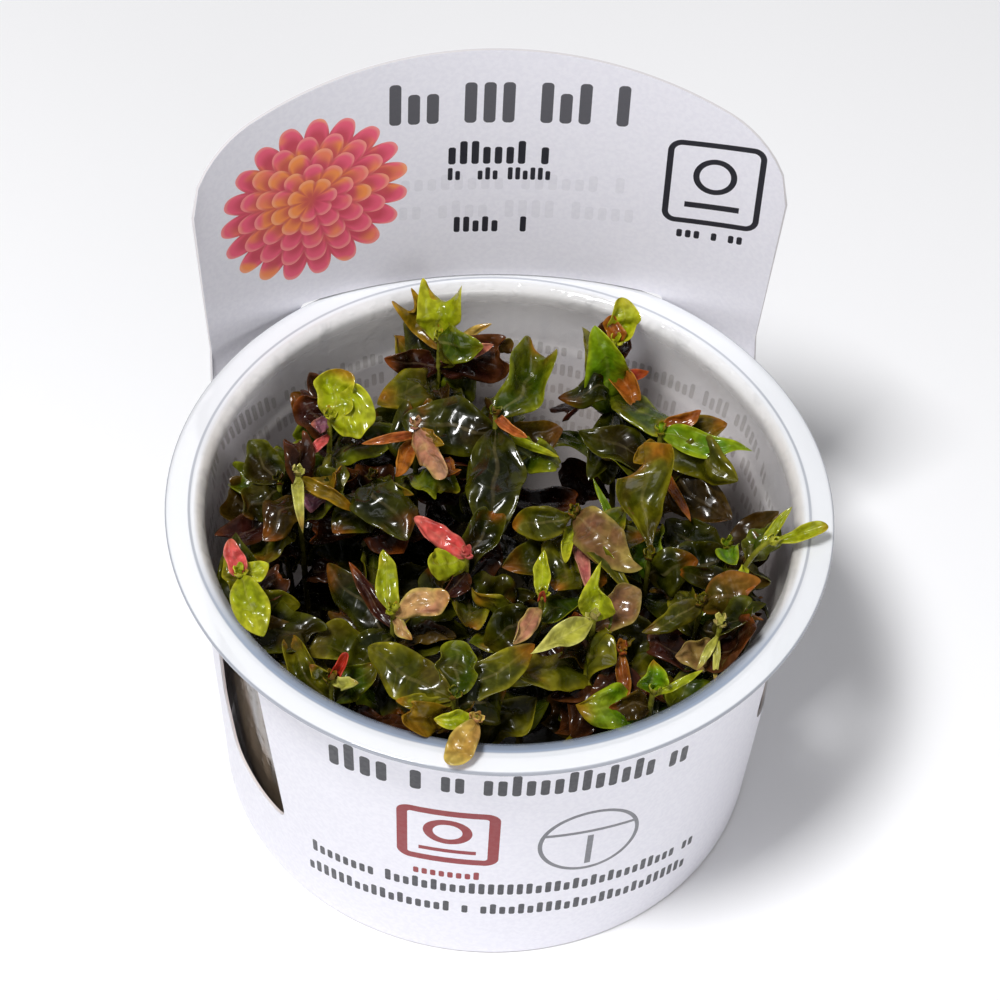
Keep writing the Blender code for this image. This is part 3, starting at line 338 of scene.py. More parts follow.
        leaf("dark", 3, (26, -3, -9), 7.5, cup=-50, arch=1.5),
        leaf("dark", 4, (25.5, 5.5, -9.5), 8, cup=-40, arch=1),
    ], "leaf_green"),
    "shoot_left_back": shoot((-26, 21), (-26, 22, -6), [
        leaf("maroon", 0.5, (-31, 25, -2), 5, cup=60),
        leaf("olive", 0.5, (-21, 19, -3), 5.5, cup=-50, arch=1),
        leaf("green", 3, (-33, 17, -8), 6, cup=-40),
    ], "leaf_brown", pairs=(10, 21)),
}

# Leaf colours as they look in the light: the blade, its edge and tip, and its underside.
LEAF_COLOURS = {
    "lime": ((140, 150, 10), (190, 188, 44), (170, 168, 56)),
    "bright": ((82, 118, 8), (150, 164, 22), (140, 124, 40)),
    "green": ((50, 66, 4), (126, 130, 18), (104, 74, 30)),
    "dark": ((22, 26, 1), (78, 78, 8), (60, 32, 14)),
    "olive": ((58, 60, 4), (132, 124, 20), (104, 74, 34)),
    "amber": ((100, 82, 10), (160, 122, 22), (146, 84, 34)),
    "tan": ((74, 62, 12), (146, 92, 30), (142, 86, 40)),
    "brown": ((38, 27, 4), (88, 66, 12), (70, 34, 18)),
    "maroon": ((34, 15, 8), (84, 46, 16), (74, 26, 24)),
    "rust": ((136, 70, 20), (168, 110, 34), (150, 62, 40)),
    "orange": ((150, 72, 28), (186, 118, 52), (176, 94, 62)),
    "red": ((150, 46, 36), (190, 90, 50), (190, 76, 70)),
    "redpink": ((192, 64, 60), (222, 122, 106), (216, 108, 108)),
    "pink": ((178, 92, 88), (210, 148, 118), (204, 126, 122)),
    "pinkbrown": ((112, 78, 46), (158, 140, 66), (166, 116, 96)),
    "dustypink": ((172, 116, 88), (184, 164, 84), (200, 138, 124)),
    "salmon": ((180, 140, 60), (206, 180, 90), (204, 140, 104)),
    "purple": ((112, 68, 84), (150, 96, 88), (140, 84, 100)),
    "pale": ((158, 156, 56), (204, 200, 110), (180, 162, 96)),
    "berry": ((146, 26, 22), (176, 56, 34), (166, 56, 54)),
}
LOWER_KINDS = ("dark", "dark", "olive", "brown", "maroon", "green")
YOUNG_KINDS = ("green", "bright", "olive", "amber", "rust")


class Value:
    """A socket of a node tree, worked with like a number or a vector."""

    def __init__(self, nodes, socket):
        self.nodes = nodes
        self.socket = socket

    def is_vector(self):
        return self.socket.type in ("VECTOR", "RGBA")

    def __add__(self, other):
        return self.nodes.work("ADD", self, other)

    def __radd__(self, other):
        return self.nodes.work("ADD", other, self)

    def __sub__(self, other):
        return self.nodes.work("SUBTRACT", self, other)

    def __rsub__(self, other):
        return self.nodes.work("SUBTRACT", other, self)

    def __mul__(self, other):
        return self.nodes.work("MULTIPLY", self, other)

    def __rmul__(self, other):
        return self.nodes.work("MULTIPLY", other, self)

    def __truediv__(self, other):
        return self.nodes.work("DIVIDE", self, other)

    def __rtruediv__(self, other):
        return self.nodes.work("DIVIDE", other, self)

    def __pow__(self, other):
        return self.nodes.work("POWER", self, other)

    def __neg__(self):
        return self.nodes.work("MULTIPLY", self, -1.0)

    def __abs__(self):
        return self.nodes.work("ABSOLUTE", self)


class Nodes:
    """A node tree written as expressions, for materials and for geometry."""

    def __init__(self, tree):
        self.tree = tree
        tree.nodes.clear()

    def add(self, kind, settings=None, sockets=None):
        """Any node: its settings first, then the values or links of its sockets."""
        node = self.tree.nodes.new(kind)
        for name, value in (settings or {}).items():
            setattr(node, name, value)
        for name, value in (sockets or {}).items():
            if isinstance(value, Value):
                self.tree.links.new(value.socket, node.inputs[name])
            else:
                node.inputs[name].default_value = value
        return node

    def out(self, kind, settings=None, sockets=None, output=0):
        return Value(self, self.add(kind, settings, sockets).outputs[output])

    def work(self, operation, *operands):
        """A Math node, or a Vector Math node where an operand is a vector."""
        vector = any(isinstance(o, tuple) or isinstance(o, Value) and o.is_vector() for o in operands)
        if not vector:
            return self.out("ShaderNodeMath", {"operation": operation}, dict(enumerate(operands)))
        spread = [o if isinstance(o, (Value, tuple)) else (o, o, o) for o in operands]
        return self.out("ShaderNodeVectorMath", {"operation": operation}, dict(enumerate(spread)))

    def sin(self, value):
        return self.work("SINE", value)

    def cos(self, value):
        return self.work("COSINE", value)

    def most(self, a, b):
        return self.work("MAXIMUM", a, b)

    def least(self, a, b):
        return self.work("MINIMUM", a, b)

    def less(self, a, b):
        return self.work("LESS_THAN", a, b)

    def part(self, value):
        return self.work("FRACT", value)

    def whole(self, value):
        return self.work("FLOOR", value)

    def root(self, value):
        return self.work("SQRT", value)

    def near(self, value, middle, reach):
        """1 where the value is within reach of the middle, or else 0."""
        return self.work("COMPARE", value, middle, reach)

    def unit(self, value):
        return self.work("NORMALIZE", value)

    def cross(self, a, b):
        return self.work("CROSS_PRODUCT", a, b)

    def axes(self, vector):
        split = self.add("ShaderNodeSeparateXYZ", None, {0: vector})
        return [Value(self, socket) for socket in split.outputs]

    def vector(self, x, y, z):
        return self.out("ShaderNodeCombineXYZ", None, {0: x, 1: y, 2: z})

    def ramp(self, value, low, high, start=0.0, end=1.0):
        """A smooth step from start to end as the value goes from low to high."""
        sockets = {"Value": value, "From Min": low, "From Max": high, "To Min": start, "To Max": end}
        return self.out("ShaderNodeMapRange", {"interpolation_type": "SMOOTHSTEP"}, sockets)

    def blend(self, share, a, b):
        """A mix of two colours."""
        return self.out("ShaderNodeMix", {"data_type": "RGBA"}, {0: share, 6: a, 7: b}, 2)

    def noise(self, vector, scale, detail=2.0):
        return self.out("ShaderNodeTexNoise", None, {"Vector": vector, "Scale": scale, "Detail": detail})


def colour(red, green, blue):
    """A colour as it is seen on a screen, 0 to 255, made ready for a shader."""
    def linear(level):
        level /= 255.0
        return level / 12.92 if level <= 0.04045 else ((level + 0.055) / 1.055) ** 2.4
    return (linear(red), linear(green), linear(blue), 1.0)


def settle_mesh(item):
    """The object's mesh with its modifiers applied; the modifiers are then removed."""
    bpy.context.view_layer.update()
    graph = bpy.context.evaluated_depsgraph_get()
    grown = item.evaluated_get(graph)
    made = bpy.data.meshes.new_from_object(grown, preserve_all_data_layers=True, depsgraph=graph)
    item.modifiers.clear()
    item.data = made
    return item


def linked(name, mesh):
    made = bpy.data.objects.new(name, mesh)
    bpy.context.scene.collection.objects.link(made)
    return made


def stand_for(item, node, skin=None):
    """The piece rides on the pot, takes the place of a plain node, and has its own finish."""
    if skin:
        item.data.materials.clear()
        item.data.materials.append(skin)
    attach(item, "root")
    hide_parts(node)


# Working out where the leaves are


def unit(vector):
    return vector / np.linalg.norm(vector)


def stem_path(spec, count):
    """Points down a shoot's stem, from its top to its foot on the gel."""
    foot_height = CUP_FLOOR + 2 * GAP + GEL_DEPTH
    foot = np.array((*spec["foot"], foot_height), float)
    top = np.array(spec["top"], float) + (0.0, 0.0, CUP_HEIGHT)
    rise = foot + (0.0, 0.0, 0.45 * (top[2] - foot_height))
    into_top = top - np.array(spec["heading"], float)
    made = []
    for t in np.linspace(0.0, 1.0, count):
        made.append((1 - t) ** 3 * top + 3 * t * (1 - t) ** 2 * into_top
                    + 3 * t * t * (1 - t) * rise + t ** 3 * foot)
    return np.array(made)


def stem_place(path, distance):
    """The point of a stem at a distance down from its top."""
    steps = np.linalg.norm(np.diff(path, axis=0), axis=1)
    travelled = np.concatenate(((0.0,), np.cumsum(steps)))
    return np.array([np.interp(distance, travelled, path[:, axis]) for axis in range(3)])


def leaf_axes(root, tip, facing):
    """The direction that a leaf faces, square to its length, and the direction across it."""
    along = unit(tip - root)
    normal = unit(facing - along * np.dot(facing, along))
    return normal, np.cross(along, normal)


def leaf_sheet(root, spec, facing, segments, columns):
    """Points of a leaf's middle surface, and its normals, as rows from the root to the tip."""
    chord = spec["tip_place"] - root
    normal, side = leaf_axes(root, spec["tip_place"], facing)
    belly = math.log(0.5) / math.log(spec.get("belly", 0.45))
    blunt = spec.get("blunt", 0.7)
    arch = spec.get("arch", 0.0)
    hook = spec.get("hook", 0.0)
    cup = math.radians(spec.get("cup", 0.0))
    wave = spec.get("wave", 0.0)

    def midrib(t):
        return root + chord * t + normal * (arch * 4 * t * (1 - t) + hook * 10 * (t ** 3 - t * t))

    rows = []
    normals = []
    for i in range(segments + 1):
        t = i / segments
        along = unit(midrib(min(t + 0.02, 1.0)) - midrib(max(t - 0.02, 0.0)))
        up = unit(np.cross(side, along))
        half = spec["width"] / 2 * math.sin(math.pi * t ** belly) ** blunt if 0 < t < 1 else 0.0
        half = max(half, LEAF_ROOT_HALF_WIDTH * (1 - t) + LEAF_TIP_HALF_WIDTH * t)
        row = []
        row_normals = []
        bend = cup / 2 * min(half / (spec["width"] / 2), 1.0)
        for v in np.linspace(-1.0, 1.0, columns + 1):
            turn = bend * v
            reach = v if abs(bend) < 0.02 else math.sin(turn) / bend
            lift = 0.0 if abs(bend) < 0.02 else (1 - math.cos(turn)) / bend
            ripple = wave * abs(v) * math.sin(7.0 * t + 1.6 * v) * math.sin(math.pi * t)
            row.append(midrib(t) + side * half * reach + up * (half * lift + ripple))
            row_normals.append(unit(up * math.cos(turn) - side * math.sin(turn)))
        rows.append(row)
        normals.append(row_normals)
    return np.array(rows), np.array(normals)


def leaf_solid(rows, normals, thickness):
    """Closed mesh of a plain leaf: upper and under faces, pointed at both ends, joined at the edge."""
    count, width = rows.shape[:2]
    upper = rows + normals * thickness / 2
    under = rows - normals * thickness / 2
    middle = [(upper, i, k) for i in range(1, count - 1) for k in range(width)]
    points = [side[i, k] for side, i, k in middle] + [upper[0].mean(0), upper[-1].mean(0)]
    below = len(points)
    points += [under[i, k] for side, i, k in middle] + [under[0].mean(0), under[-1].mean(0)]
    root = below - 2
    tip = below - 1
    last = (count - 3) * width
    top_faces = []
    for k in range(width - 1):
        top_faces.append((root, k + 1, k))
        top_faces.append((tip, last + k, last + k + 1))
        for i in range(count - 3):
            a = i * width + k
            top_faces.append((a, a + 1, a + width + 1, a + width))
    faces = top_faces + [tuple(below + i for i in reversed(face)) for face in top_faces]
    rim = [root] + [i * width + width - 1 for i in range(count - 2)] + [tip]
    rim += [i * width for i in range(count - 3, -1, -1)]
    for a, b in zip(rim, rim[1:] + rim[:1]):
        faces.append((b, a, below + a, below + b))
    return np.array(points), faces


def turned_tip(root, tip, azimuth, pitch, scale):
    """The leaf's tip after it swings round and up about its root, and shrinks."""
    reach = tip - root
    flat = math.hypot(reach[0], reach[1])
    heading = math.atan2(reach[1], reach[0]) + azimuth
    rise = math.atan2(reach[2], flat) + pitch
    length = np.linalg.norm(reach) * scale
    return root + length * np.array((math.cos(rise) * math.cos(heading),
                                     math.cos(rise) * math.sin(heading), math.sin(rise)))


def swings():
    """Ways to swing a leaf clear of its neighbours, the smallest first."""
    turns = [math.radians(a) for a in (0, 7, -7, 14, -14, 24, -24, 38, -38, 55, -55)]
    lifts = [math.radians(a) for a in (0, 7, -7, 14, -14, 24, -24, 38)]
    made = [(a, b, s) for a in turns for b in lifts for s in (1.0, 0.86, 0.72)]
    return sorted(made, key=lambda m: abs(m[0]) + abs(m[1]) + 2.0 * (1.0 - m[2]))


class Crowd:
    """The leaves and stems placed so far, asked whether a new one would touch those of another shoot."""

    def __init__(self):
        self.members = []

    def add(self, owner, points, faces):
        points = np.asarray(points, float)
        tree = BVHTree.FromPolygons([Vector(p) for p in points], faces)
        self.members.append((owner, points.min(0), points.max(0), tree))

    def touches(self, owner, points, faces):
        points = np.asarray(points, float)
        low = points.min(0)
        high = points.max(0)
        tree = None
        for other, other_low, other_high, other_tree in self.members:
            if other == owner or np.any(other_low > high) or np.any(other_high < low):
                continue
            tree = tree or BVHTree.FromPolygons([Vector(p) for p in points], faces)
            if tree.overlap(other_tree):
                return True
        return False


def tube(path, radius, sides=6):
    """Closed tube round a path of points, for testing clearances."""
    points = []
    for i, here in enumerate(path):
        along = unit(path[min(i + 1, len(path) - 1)] - path[max(i - 1, 0)])
        across = unit(np.cross(along, (0.3, 1.0, 0.1)))
        other = np.cross(along, across)
        for k in range(sides):
            turn = 2 * math.pi * k / sides
            points.append(here + radius * (across * math.cos(turn) + other * math.sin(turn)))
    faces = []
    for i in range(len(path) - 1):
        for k in range(sides):
            a = i * sides + k
            b = i * sides + (k + 1) % sides
            faces.append((a, b, b + sides, a + sides))
    return points, faces


def cup_profile():
    """Half section of the cup: up the inside from the middle of the floor, then down the outside."""
    top = CUP_HEIGHT
    shoulder = top - SHOULDER_DEPTH
    inner_shoulder = MOUTH_RADIUS - SHOULDER_STEP
    inner_foot = inner_shoulder - SHOULDER_STEP - WALL_TAPER * (shoulder - WALL)
    return [
        (0.0, CUP_FLOOR),
        (inner_foot - BASE_ROUND, CUP_FLOOR),
        (inner_foot, CUP_FLOOR + BASE_ROUND),
        (inner_shoulder - SHOULDER_STEP, shoulder - 1.0),
        (inner_shoulder, shoulder),
        (MOUTH_RADIUS, top - 1.2),
        (MOUTH_RADIUS + 1.2, top),
        (FLANGE_RADIUS, top),
        (FLANGE_RADIUS, top - FLANGE_THICKNESS),
        (MOUTH_RADIUS + WALL, top - FLANGE_THICKNESS - 0.4),
        (inner_shoulder + WALL, shoulder - 0.3),
        (inner_shoulder - SHOULDER_STEP + WALL, shoulder - 1.6),
        (inner_foot + WALL, BASE_ROUND),
        (inner_foot + WALL - BASE_ROUND, 0.0),
        (0.0, 0.0),
    ]


def inner_radius(height):
    """Inside radius of the cup's wall at a height."""
    profile = cup_profile()[1:7]
    return float(np.interp(height, [z for r, z in profile], [r for r, z in profile]))


def wall_guard(crowd):
    """The cup's inside and flange, kept clear of leaves."""
    turns = np.linspace(0, 2 * math.pi, GUARD_SIDES + 1)[:-1]
    profile = cup_profile()[1:9]
    points = [(r * math.cos(a), r * math.sin(a), z) for r, z in profile for a in turns]
    faces = []
    for i in range(len(profile) - 1):
        for k in range(GUARD_SIDES):
            a = i * GUARD_SIDES + k
            b = i * GUARD_SIDES + (k + 1) % GUARD_SIDES
            faces.append((a, b, b + GUARD_SIDES, a + GUARD_SIDES))
    crowd.add("cup", points, faces)


def inside_cup(points):
    """Whether a leaf's points keep off the wall: inside it, or over the flange."""
    for x, y, z in points:
        reach = math.hypot(x, y)
        if z < CUP_HEIGHT + 0.4 and reach > inner_radius(z) - GAP:
            return False
        if reach > PANEL_APEX - 1.5 and y > 20.0:
            return False
    return True


def place_leaf(crowd, owner, root, spec, facing, clear_of_own=False):
    """Swing the leaf until it is clear of the wall, the other shoots and, past its root, its own."""
    wanted = spec["tip_place"]
    segments = 4 if np.linalg.norm(wanted - root) > LONG_LEAF else 3
    columns = 2 if spec["width"] > WIDE_LEAF and "kind" in spec else 1
    for azimuth, pitch, scale in swings():
        spec["tip_place"] = turned_tip(root, wanted, azimuth, pitch, scale)
        rows, normals = leaf_sheet(root, spec, facing, segments, columns)
        points, faces = leaf_solid(rows, normals, LEAF_THICKNESS + 2 * LEAF_CLEARANCE)
        if clear_of_own and crowd.touches(None, *leaf_solid(rows[1:], normals[1:], LEAF_THICKNESS)):
            continue
        if inside_cup(points) and not crowd.touches(owner, points, faces):
            crowd.add(owner, *leaf_solid(rows, normals, LEAF_THICKNESS))
            spec["root"] = root
            spec["facing"] = facing
            return spec
    return None


def lower_pairs(spec, path, rng):
    """Opposite pairs of leaves further down the stem, each pair square to the one above."""
    made = []
    length = np.linalg.norm(np.diff(path, axis=0), axis=1).sum()
    quarter = rng.uniform(0, math.pi)
    for number, at in enumerate(spec["pairs"]):
        if at > length - 9.0:
            continue
        for half in (0, 1):
            root = stem_place(path, at + ROOT_SPACING * half)
            heading = quarter + number * math.pi / 2 + half * math.pi + rng.uniform(-1, 1) * PAIR_SPREAD
            rise = PAIR_RISE + rng.uniform(-0.3, 0.3)
            reach = PAIR_LENGTH * rng.uniform(0.8, 1.15)
            tip = root + reach * np.array((math.cos(rise) * math.cos(heading),
                                           math.cos(rise) * math.sin(heading), math.sin(rise)))
            made.append(dict(root=root, tip_place=tip, width=PAIR_WIDTH * rng.uniform(0.8, 1.2), arch=1.0))
    return made


def filling_leaves(path, rng):
    """Smaller, crumpled leaves between the others, as a list from the top of a stem down."""
    made = []
    length = np.linalg.norm(np.diff(path, axis=0), axis=1).sum()
    heading = rng.uniform(0, 2 * math.pi)
    for number, at in enumerate(FILLING_PLACES):
        if at > length - 8.0:
            continue
        heading += 2.4
        rise = rng.uniform(-0.1, 0.75)
        reach = FILLING_LENGTH * rng.uniform(0.7, 1.2)
        root = stem_place(path, at)
        tip = root + reach * np.array((math.cos(rise) * math.cos(heading),
                                       math.cos(rise) * math.sin(heading), math.sin(rise)))
        lean = np.array((rng.uniform(-0.7, 0.7), rng.uniform(-0.9, 0.5), rng.uniform(0.4, 1.0)))
        made.append(dict(
            root=root, tip_place=tip, width=FILLING_WIDTH * rng.uniform(0.75, 1.25),
            arch=rng.uniform(-0.5, 2.2), hook=rng.uniform(-1.2, 1.2), cup=rng.uniform(-130, 130),
            wave=rng.uniform(0.0, 0.6), belly=rng.uniform(0.4, 0.62), blunt=rng.uniform(0.5, 1.1),
            lean=unit(lean), number=number))
    return made


def settled_leaves():
    """Every shoot's stem path and its leaves, each leaf swung clear of its neighbours."""
    crowd = Crowd()
    wall_guard(crowd)
    paths = {}
    for name, spec in SHOOTS.items():
        paths[name] = stem_path(spec, 24)
        crowd.add(name, *tube(stem_path(spec, STEM_POINTS), STEM_RADIUS + 0.2))
    blades = {name: [] for name in SHOOTS}
    for name, spec in SHOOTS.items():
        for number, blade in enumerate(spec["leaves"]):
            blade["tip_place"] = np.array(blade["tip"], float) + (0.0, 0.0, CUP_HEIGHT)
            root = stem_place(paths[name], blade["at"] + ROOT_SPACING * number)
            blades[name].append(place_leaf(crowd, name, root, blade, VIEWER))
    rng = random.Random(PAIR_SEED)
    looks = random.Random(PAIR_SEED + 1)
    for name, spec in SHOOTS.items():
        for blade in lower_pairs(spec, paths[name], rng):
            blade = place_leaf(crowd, name, blade["root"], blade, UPWARD)
            if blade:
                blade.update(kind=looks.choice(LOWER_KINDS), cup=looks.uniform(-90, 40), edge_wave=0.4,
                             blunt=looks.uniform(0.5, 1.0), belly=looks.uniform(0.36, 0.6),
                             notch=looks.choice((0.0, 0.0, 1.2, 2.2)), twist=looks.uniform(-60, 60))
            blades[name].append(blade)
    for name, spec in SHOOTS.items():
        young = [blade["kind"] for blade in spec["leaves"] if blade["kind"] in YOUNG_KINDS]
        for blade in filling_leaves(paths[name], looks):
            blade = place_leaf(crowd, name, blade["root"], blade, blade["lean"], blade["number"] < 3)
            if blade:
                kinds = young if blade["number"] < 2 and young and looks.random() < 0.4 else LOWER_KINDS
                blade.update(kind=looks.choice(kinds), edge_wave=0.45, twist=looks.uniform(-70, 70),
                             notch=looks.choice((0.0, 0.0, 1.0, 2.0)), crumple=1.3)
            blades[name].append(blade)
    return paths, {name: [blade for blade in blades[name] if blade] for name in SHOOTS}


# Growing the shoots

GUIDE_NUMBERS = ("part", "girth", "width", "arch", "hook", "cup", "wave", "edge_wave", "fullness", "blunt",
                 "twist", "notch", "skew", "fold", "curl", "crumple", "seed")
GUIDE_VECTORS = ("root", "chord", "normal", "side", "leaf_main", "leaf_edge", "leaf_under")
# Which part of the shoot a guide point stands for; the stem's points hold 0
BLADE_PART = 1.0
LEAFLET_PART = 2.0


def grow_shoot_tree():
    """Geometry nodes: a round stem along the guide's edges, and a shaped leaf at each loose point."""
    tree = bpy.data.node_groups.new("grow_shoot", "GeometryNodeTree")
    inputs = (
        ("Guide", "NodeSocketGeometry", None),
        ("Stem sides", "NodeSocketInt", STEM_SIDES),
        ("Blade rows", "NodeSocketInt", BLADE_ROWS),
        ("Blade round", "NodeSocketInt", BLADE_ROUND),
        ("Leaflet rows", "NodeSocketInt", LEAFLET_ROWS),
        ("Leaflet round", "NodeSocketInt", LEAFLET_ROUND),
        ("Blade thickness", "NodeSocketFloat", BLADE_THICKNESS * MM),
        ("Skin", "NodeSocketMaterial", None),
    )
    for name, kind, value in inputs:
        socket = tree.interface.new_socket(name, in_out="INPUT", socket_type=kind)
        if value is not None:
            socket.default_value = value
    tree.interface.new_socket("Shoot", in_out="OUTPUT", socket_type="NodeSocketGeometry")
    nodes = Nodes(tree)
    group = nodes.add("NodeGroupInput")
    given = {name: Value(nodes, group.outputs[name]) for name, kind, value in inputs}

    def number(name):
        return nodes.out("GeometryNodeInputNamedAttribute", {"data_type": "FLOAT"}, {"Name": name})

    def vector(name):
        return nodes.out("GeometryNodeInputNamedAttribute", {"data_type": "FLOAT_VECTOR"}, {"Name": name})

    def keep(geometry, name, value):
        settings = {"data_type": "FLOAT", "domain": "POINT"}
        sockets = {"Geometry": geometry, "Name": name, "Value": value}
        return nodes.out("GeometryNodeStoreNamedAttribute", settings, sockets)

    part = number("part")

    only_stem = nodes.out("GeometryNodeDeleteGeometry", {"domain": "POINT"},
                          {"Geometry": given["Guide"], "Selection": nodes.work("GREATER_THAN", part, 0.5)})
    line = nodes.out("GeometryNodeMeshToCurve", None, {"Mesh": only_stem})
    ring = nodes.out("GeometryNodeCurvePrimitiveCircle", {"mode": "RADIUS"},
                     {"Resolution": given["Stem sides"], "Radius": 1.0})
    stem = nodes.out("GeometryNodeCurveToMesh", None,
                     {"Curve": line, "Profile Curve": ring, "Scale": number("girth"), "Fill Caps": True})

    def leaves(wanted, rows, round_count):
        """A rod for each leaf: its length runs from root to tip, its ring goes over and under the blade."""
        rod = nodes.out("GeometryNodeMeshCylinder", {"fill_type": "NGON"},
                        {"Vertices": round_count, "Side Segments": rows, "Radius": 1.0, "Depth": 1.0})
        x, y, z = nodes.axes(nodes.out("GeometryNodeInputPosition"))
        rod = keep(rod, "along", 0.5 - 0.5 * nodes.cos((z + 0.5) * math.pi))
        rod = keep(rod, "across", x)
        rod = keep(rod, "over", y)
        chosen = nodes.work("COMPARE", part, wanted, 0.1)
        placed = nodes.out("GeometryNodeInstanceOnPoints", None,
                           {"Points": given["Guide"], "Selection": chosen, "Instance": rod})
        return nodes.out("GeometryNodeRealizeInstances", None, {"Geometry": placed})

    def shaped(geometry):
        """Moves the rods' points to the leaf's surface."""
        t = number("along")
        v = number("across")
        over = number("over")
        width = number("width")
        seed = number("seed")
        side = vector("side")
        normal = vector("normal")
        chord = vector("chord")
        arch = number("arch")
        hook = number("hook")
        swell = nodes.most(nodes.sin(math.pi * t ** number("fullness")), 0.0) ** number("blunt")
        slim = LEAF_ROOT_HALF_WIDTH * MM * (1.0 - t) + 0.06 * MM * t
        half = nodes.most(width * 0.5 * swell, slim)
        wide = nodes.least(half / (width * 0.5), 1.0)
        bend = number("cup") * 0.5 * wide * (1.0 + number("curl") * (t - 0.35))
        bend = bend + 0.0006 - 0.0012 * nodes.less(bend, 0.0)
        turn = bend * v
        reach = nodes.sin(turn) / bend
        lift = (1.0 - nodes.cos(turn)) / bend
        middle = nodes.sin(math.pi * t)
        ripple = number("wave") * abs(v) * nodes.sin(7.0 * t + 1.6 * v) * middle
        frill = number("edge_wave") * (abs(v) ** 2.0) * nodes.sin(13.0 * t + 2.4 * v + 9.0 * seed) * middle
        sway = nodes.noise(nodes.vector(t * 2.6, v * 1.1, seed * 31.0), 1.0, 1.5) - 0.5
        sway = sway * width * number("crumple") * middle
        crease = number("fold") * half * abs(v) * nodes.ramp(t, 0.05, 0.5)
        horns = nodes.ramp(t, 0.45, 0.84) * nodes.ramp(t, 0.86, 1.0, 1.0, 0.0) * abs(v) ** 1.5
        notch = number("notch") * (nodes.ramp(t, 0.70, 1.0) - 1.2 * horns)
        notch = notch - number("skew") * v * nodes.ramp(t, 0.55, 1.0)
        wander = nodes.noise(nodes.vector(t * 1.6, seed * 17.0, 4.0), 1.0, 1.0) - 0.5
        wander = wander * width * 0.9 * middle
        dip = width * 0.10 * nodes.sin(6.0 * t + 40.0 * seed) * middle
        rise = arch * 4.0 * t * (1.0 - t) + hook * 10.0 * (t ** 3.0 - t * t)
        slope = arch * 4.0 * (1.0 - 2.0 * t) + hook * 10.0 * (3.0 * t * t - 2.0 * t)
        along = nodes.unit(chord + normal * slope)
        up = nodes.unit(nodes.cross(side, along))
        twist = number("twist") * (t - 0.25)
        across = side * nodes.cos(twist) + up * nodes.sin(twist)
        above = up * nodes.cos(twist) - side * nodes.sin(twist)
        facing = above * nodes.cos(turn) - across * nodes.sin(turn)
        sign = 1.0 - 2.0 * nodes.less(over, 0.0)
        thick = sign * nodes.most(abs(over), 0.0) ** 0.5 * given["Blade thickness"] * 0.5
        thick = thick * nodes.least(0.35 + wide, 1.0)
        place = vector("root") + chord * t + normal * rise - along * notch
        place = place + across * (half * reach + wander)
        place = place + above * (half * lift + ripple + frill + sway + crease + dip) + facing * thick
        return nodes.out("GeometryNodeSetPosition", None, {"Geometry": geometry, "Position": place})

    blades = shaped(leaves(BLADE_PART, given["Blade rows"], given["Blade round"]))
    leaflets = shaped(leaves(LEAFLET_PART, given["Leaflet rows"], given["Leaflet round"]))
    whole = nodes.add("GeometryNodeJoinGeometry")
    for geometry in (stem, blades, leaflets):
        tree.links.new(geometry.socket, whole.inputs[0])
    whole = Value(nodes, whole.outputs[0])
    whole = nodes.out("GeometryNodeSetShadeSmooth", None, {"Geometry": whole})
    whole = nodes.out("GeometryNodeRealizeInstances", None, {"Geometry": whole})
    whole = nodes.out("GeometryNodeSetMaterial", None, {"Geometry": whole, "Material": given["Skin"]})
    nodes.add("NodeGroupOutput", None, {"Shoot": whole})
    return tree


def leaf_fields(blade, rng):
    """What the guide holds for one leaf, in metres."""
    main, edge, under = [colour(*shade)[:3] for shade in LEAF_COLOURS[blade["kind"]]]
    vary = rng.uniform(0.85, 1.15)
    normal, side = leaf_axes(blade["root"], blade["tip_place"], blade["facing"])
    return dict(
        part=blade.get("part", BLADE_PART), girth=0.0, width=blade["width"] * MM,
        arch=blade.get("arch", 0.0) * MM, hook=blade.get("hook", 0.0) * MM,
        cup=math.radians(blade.get("cup", 0.0)),
        wave=blade.get("wave", 0.0) * MM, edge_wave=blade.get("edge_wave", 0.3) * MM,
        fullness=math.log(0.5) / math.log(blade.get("belly", 0.45)), blunt=blade.get("blunt", 0.7),
        twist=math.radians(blade.get("twist", rng.uniform(-42, 42))), notch=blade.get("notch", 0.0) * MM,
        skew=blade.get("skew", 0.0) * MM, fold=blade.get("fold", rng.uniform(-0.15, 0.55)),
        curl=blade.get("curl", rng.uniform(0.0, 1.4)), crumple=blade.get("crumple", 0.9),
        seed=rng.random(), root=blade["root"] * MM, chord=(blade["tip_place"] - blade["root"]) * MM,
        normal=normal, side=side, leaf_main=np.array(main) * vary, leaf_edge=np.array(edge) * vary,
        leaf_under=np.array(under) * vary)


def bud_leaves(spec, path, rng):
    """Small young leaves folded round the tip of a stem."""
    made = []
    direction = unit(path[0] - path[1])
    first = rng.uniform(0, 2 * math.pi)
    kind = spec["leaves"][0]["kind"]
    for number in range(4):
        turn = first + number * math.pi / 2
        out = np.array((math.cos(turn), math.sin(turn), 0.0))
        root = stem_place(path, 0.15 * number)
        tip = root + direction * (1.9 - 0.2 * number) + out * (0.5 + 0.25 * number)
        made.append(dict(kind=kind, root=root, tip_place=tip, width=1.3, cup=70,
                         facing=-out + 0.3 * direction, part=LEAFLET_PART, arch=-0.3))
    return made


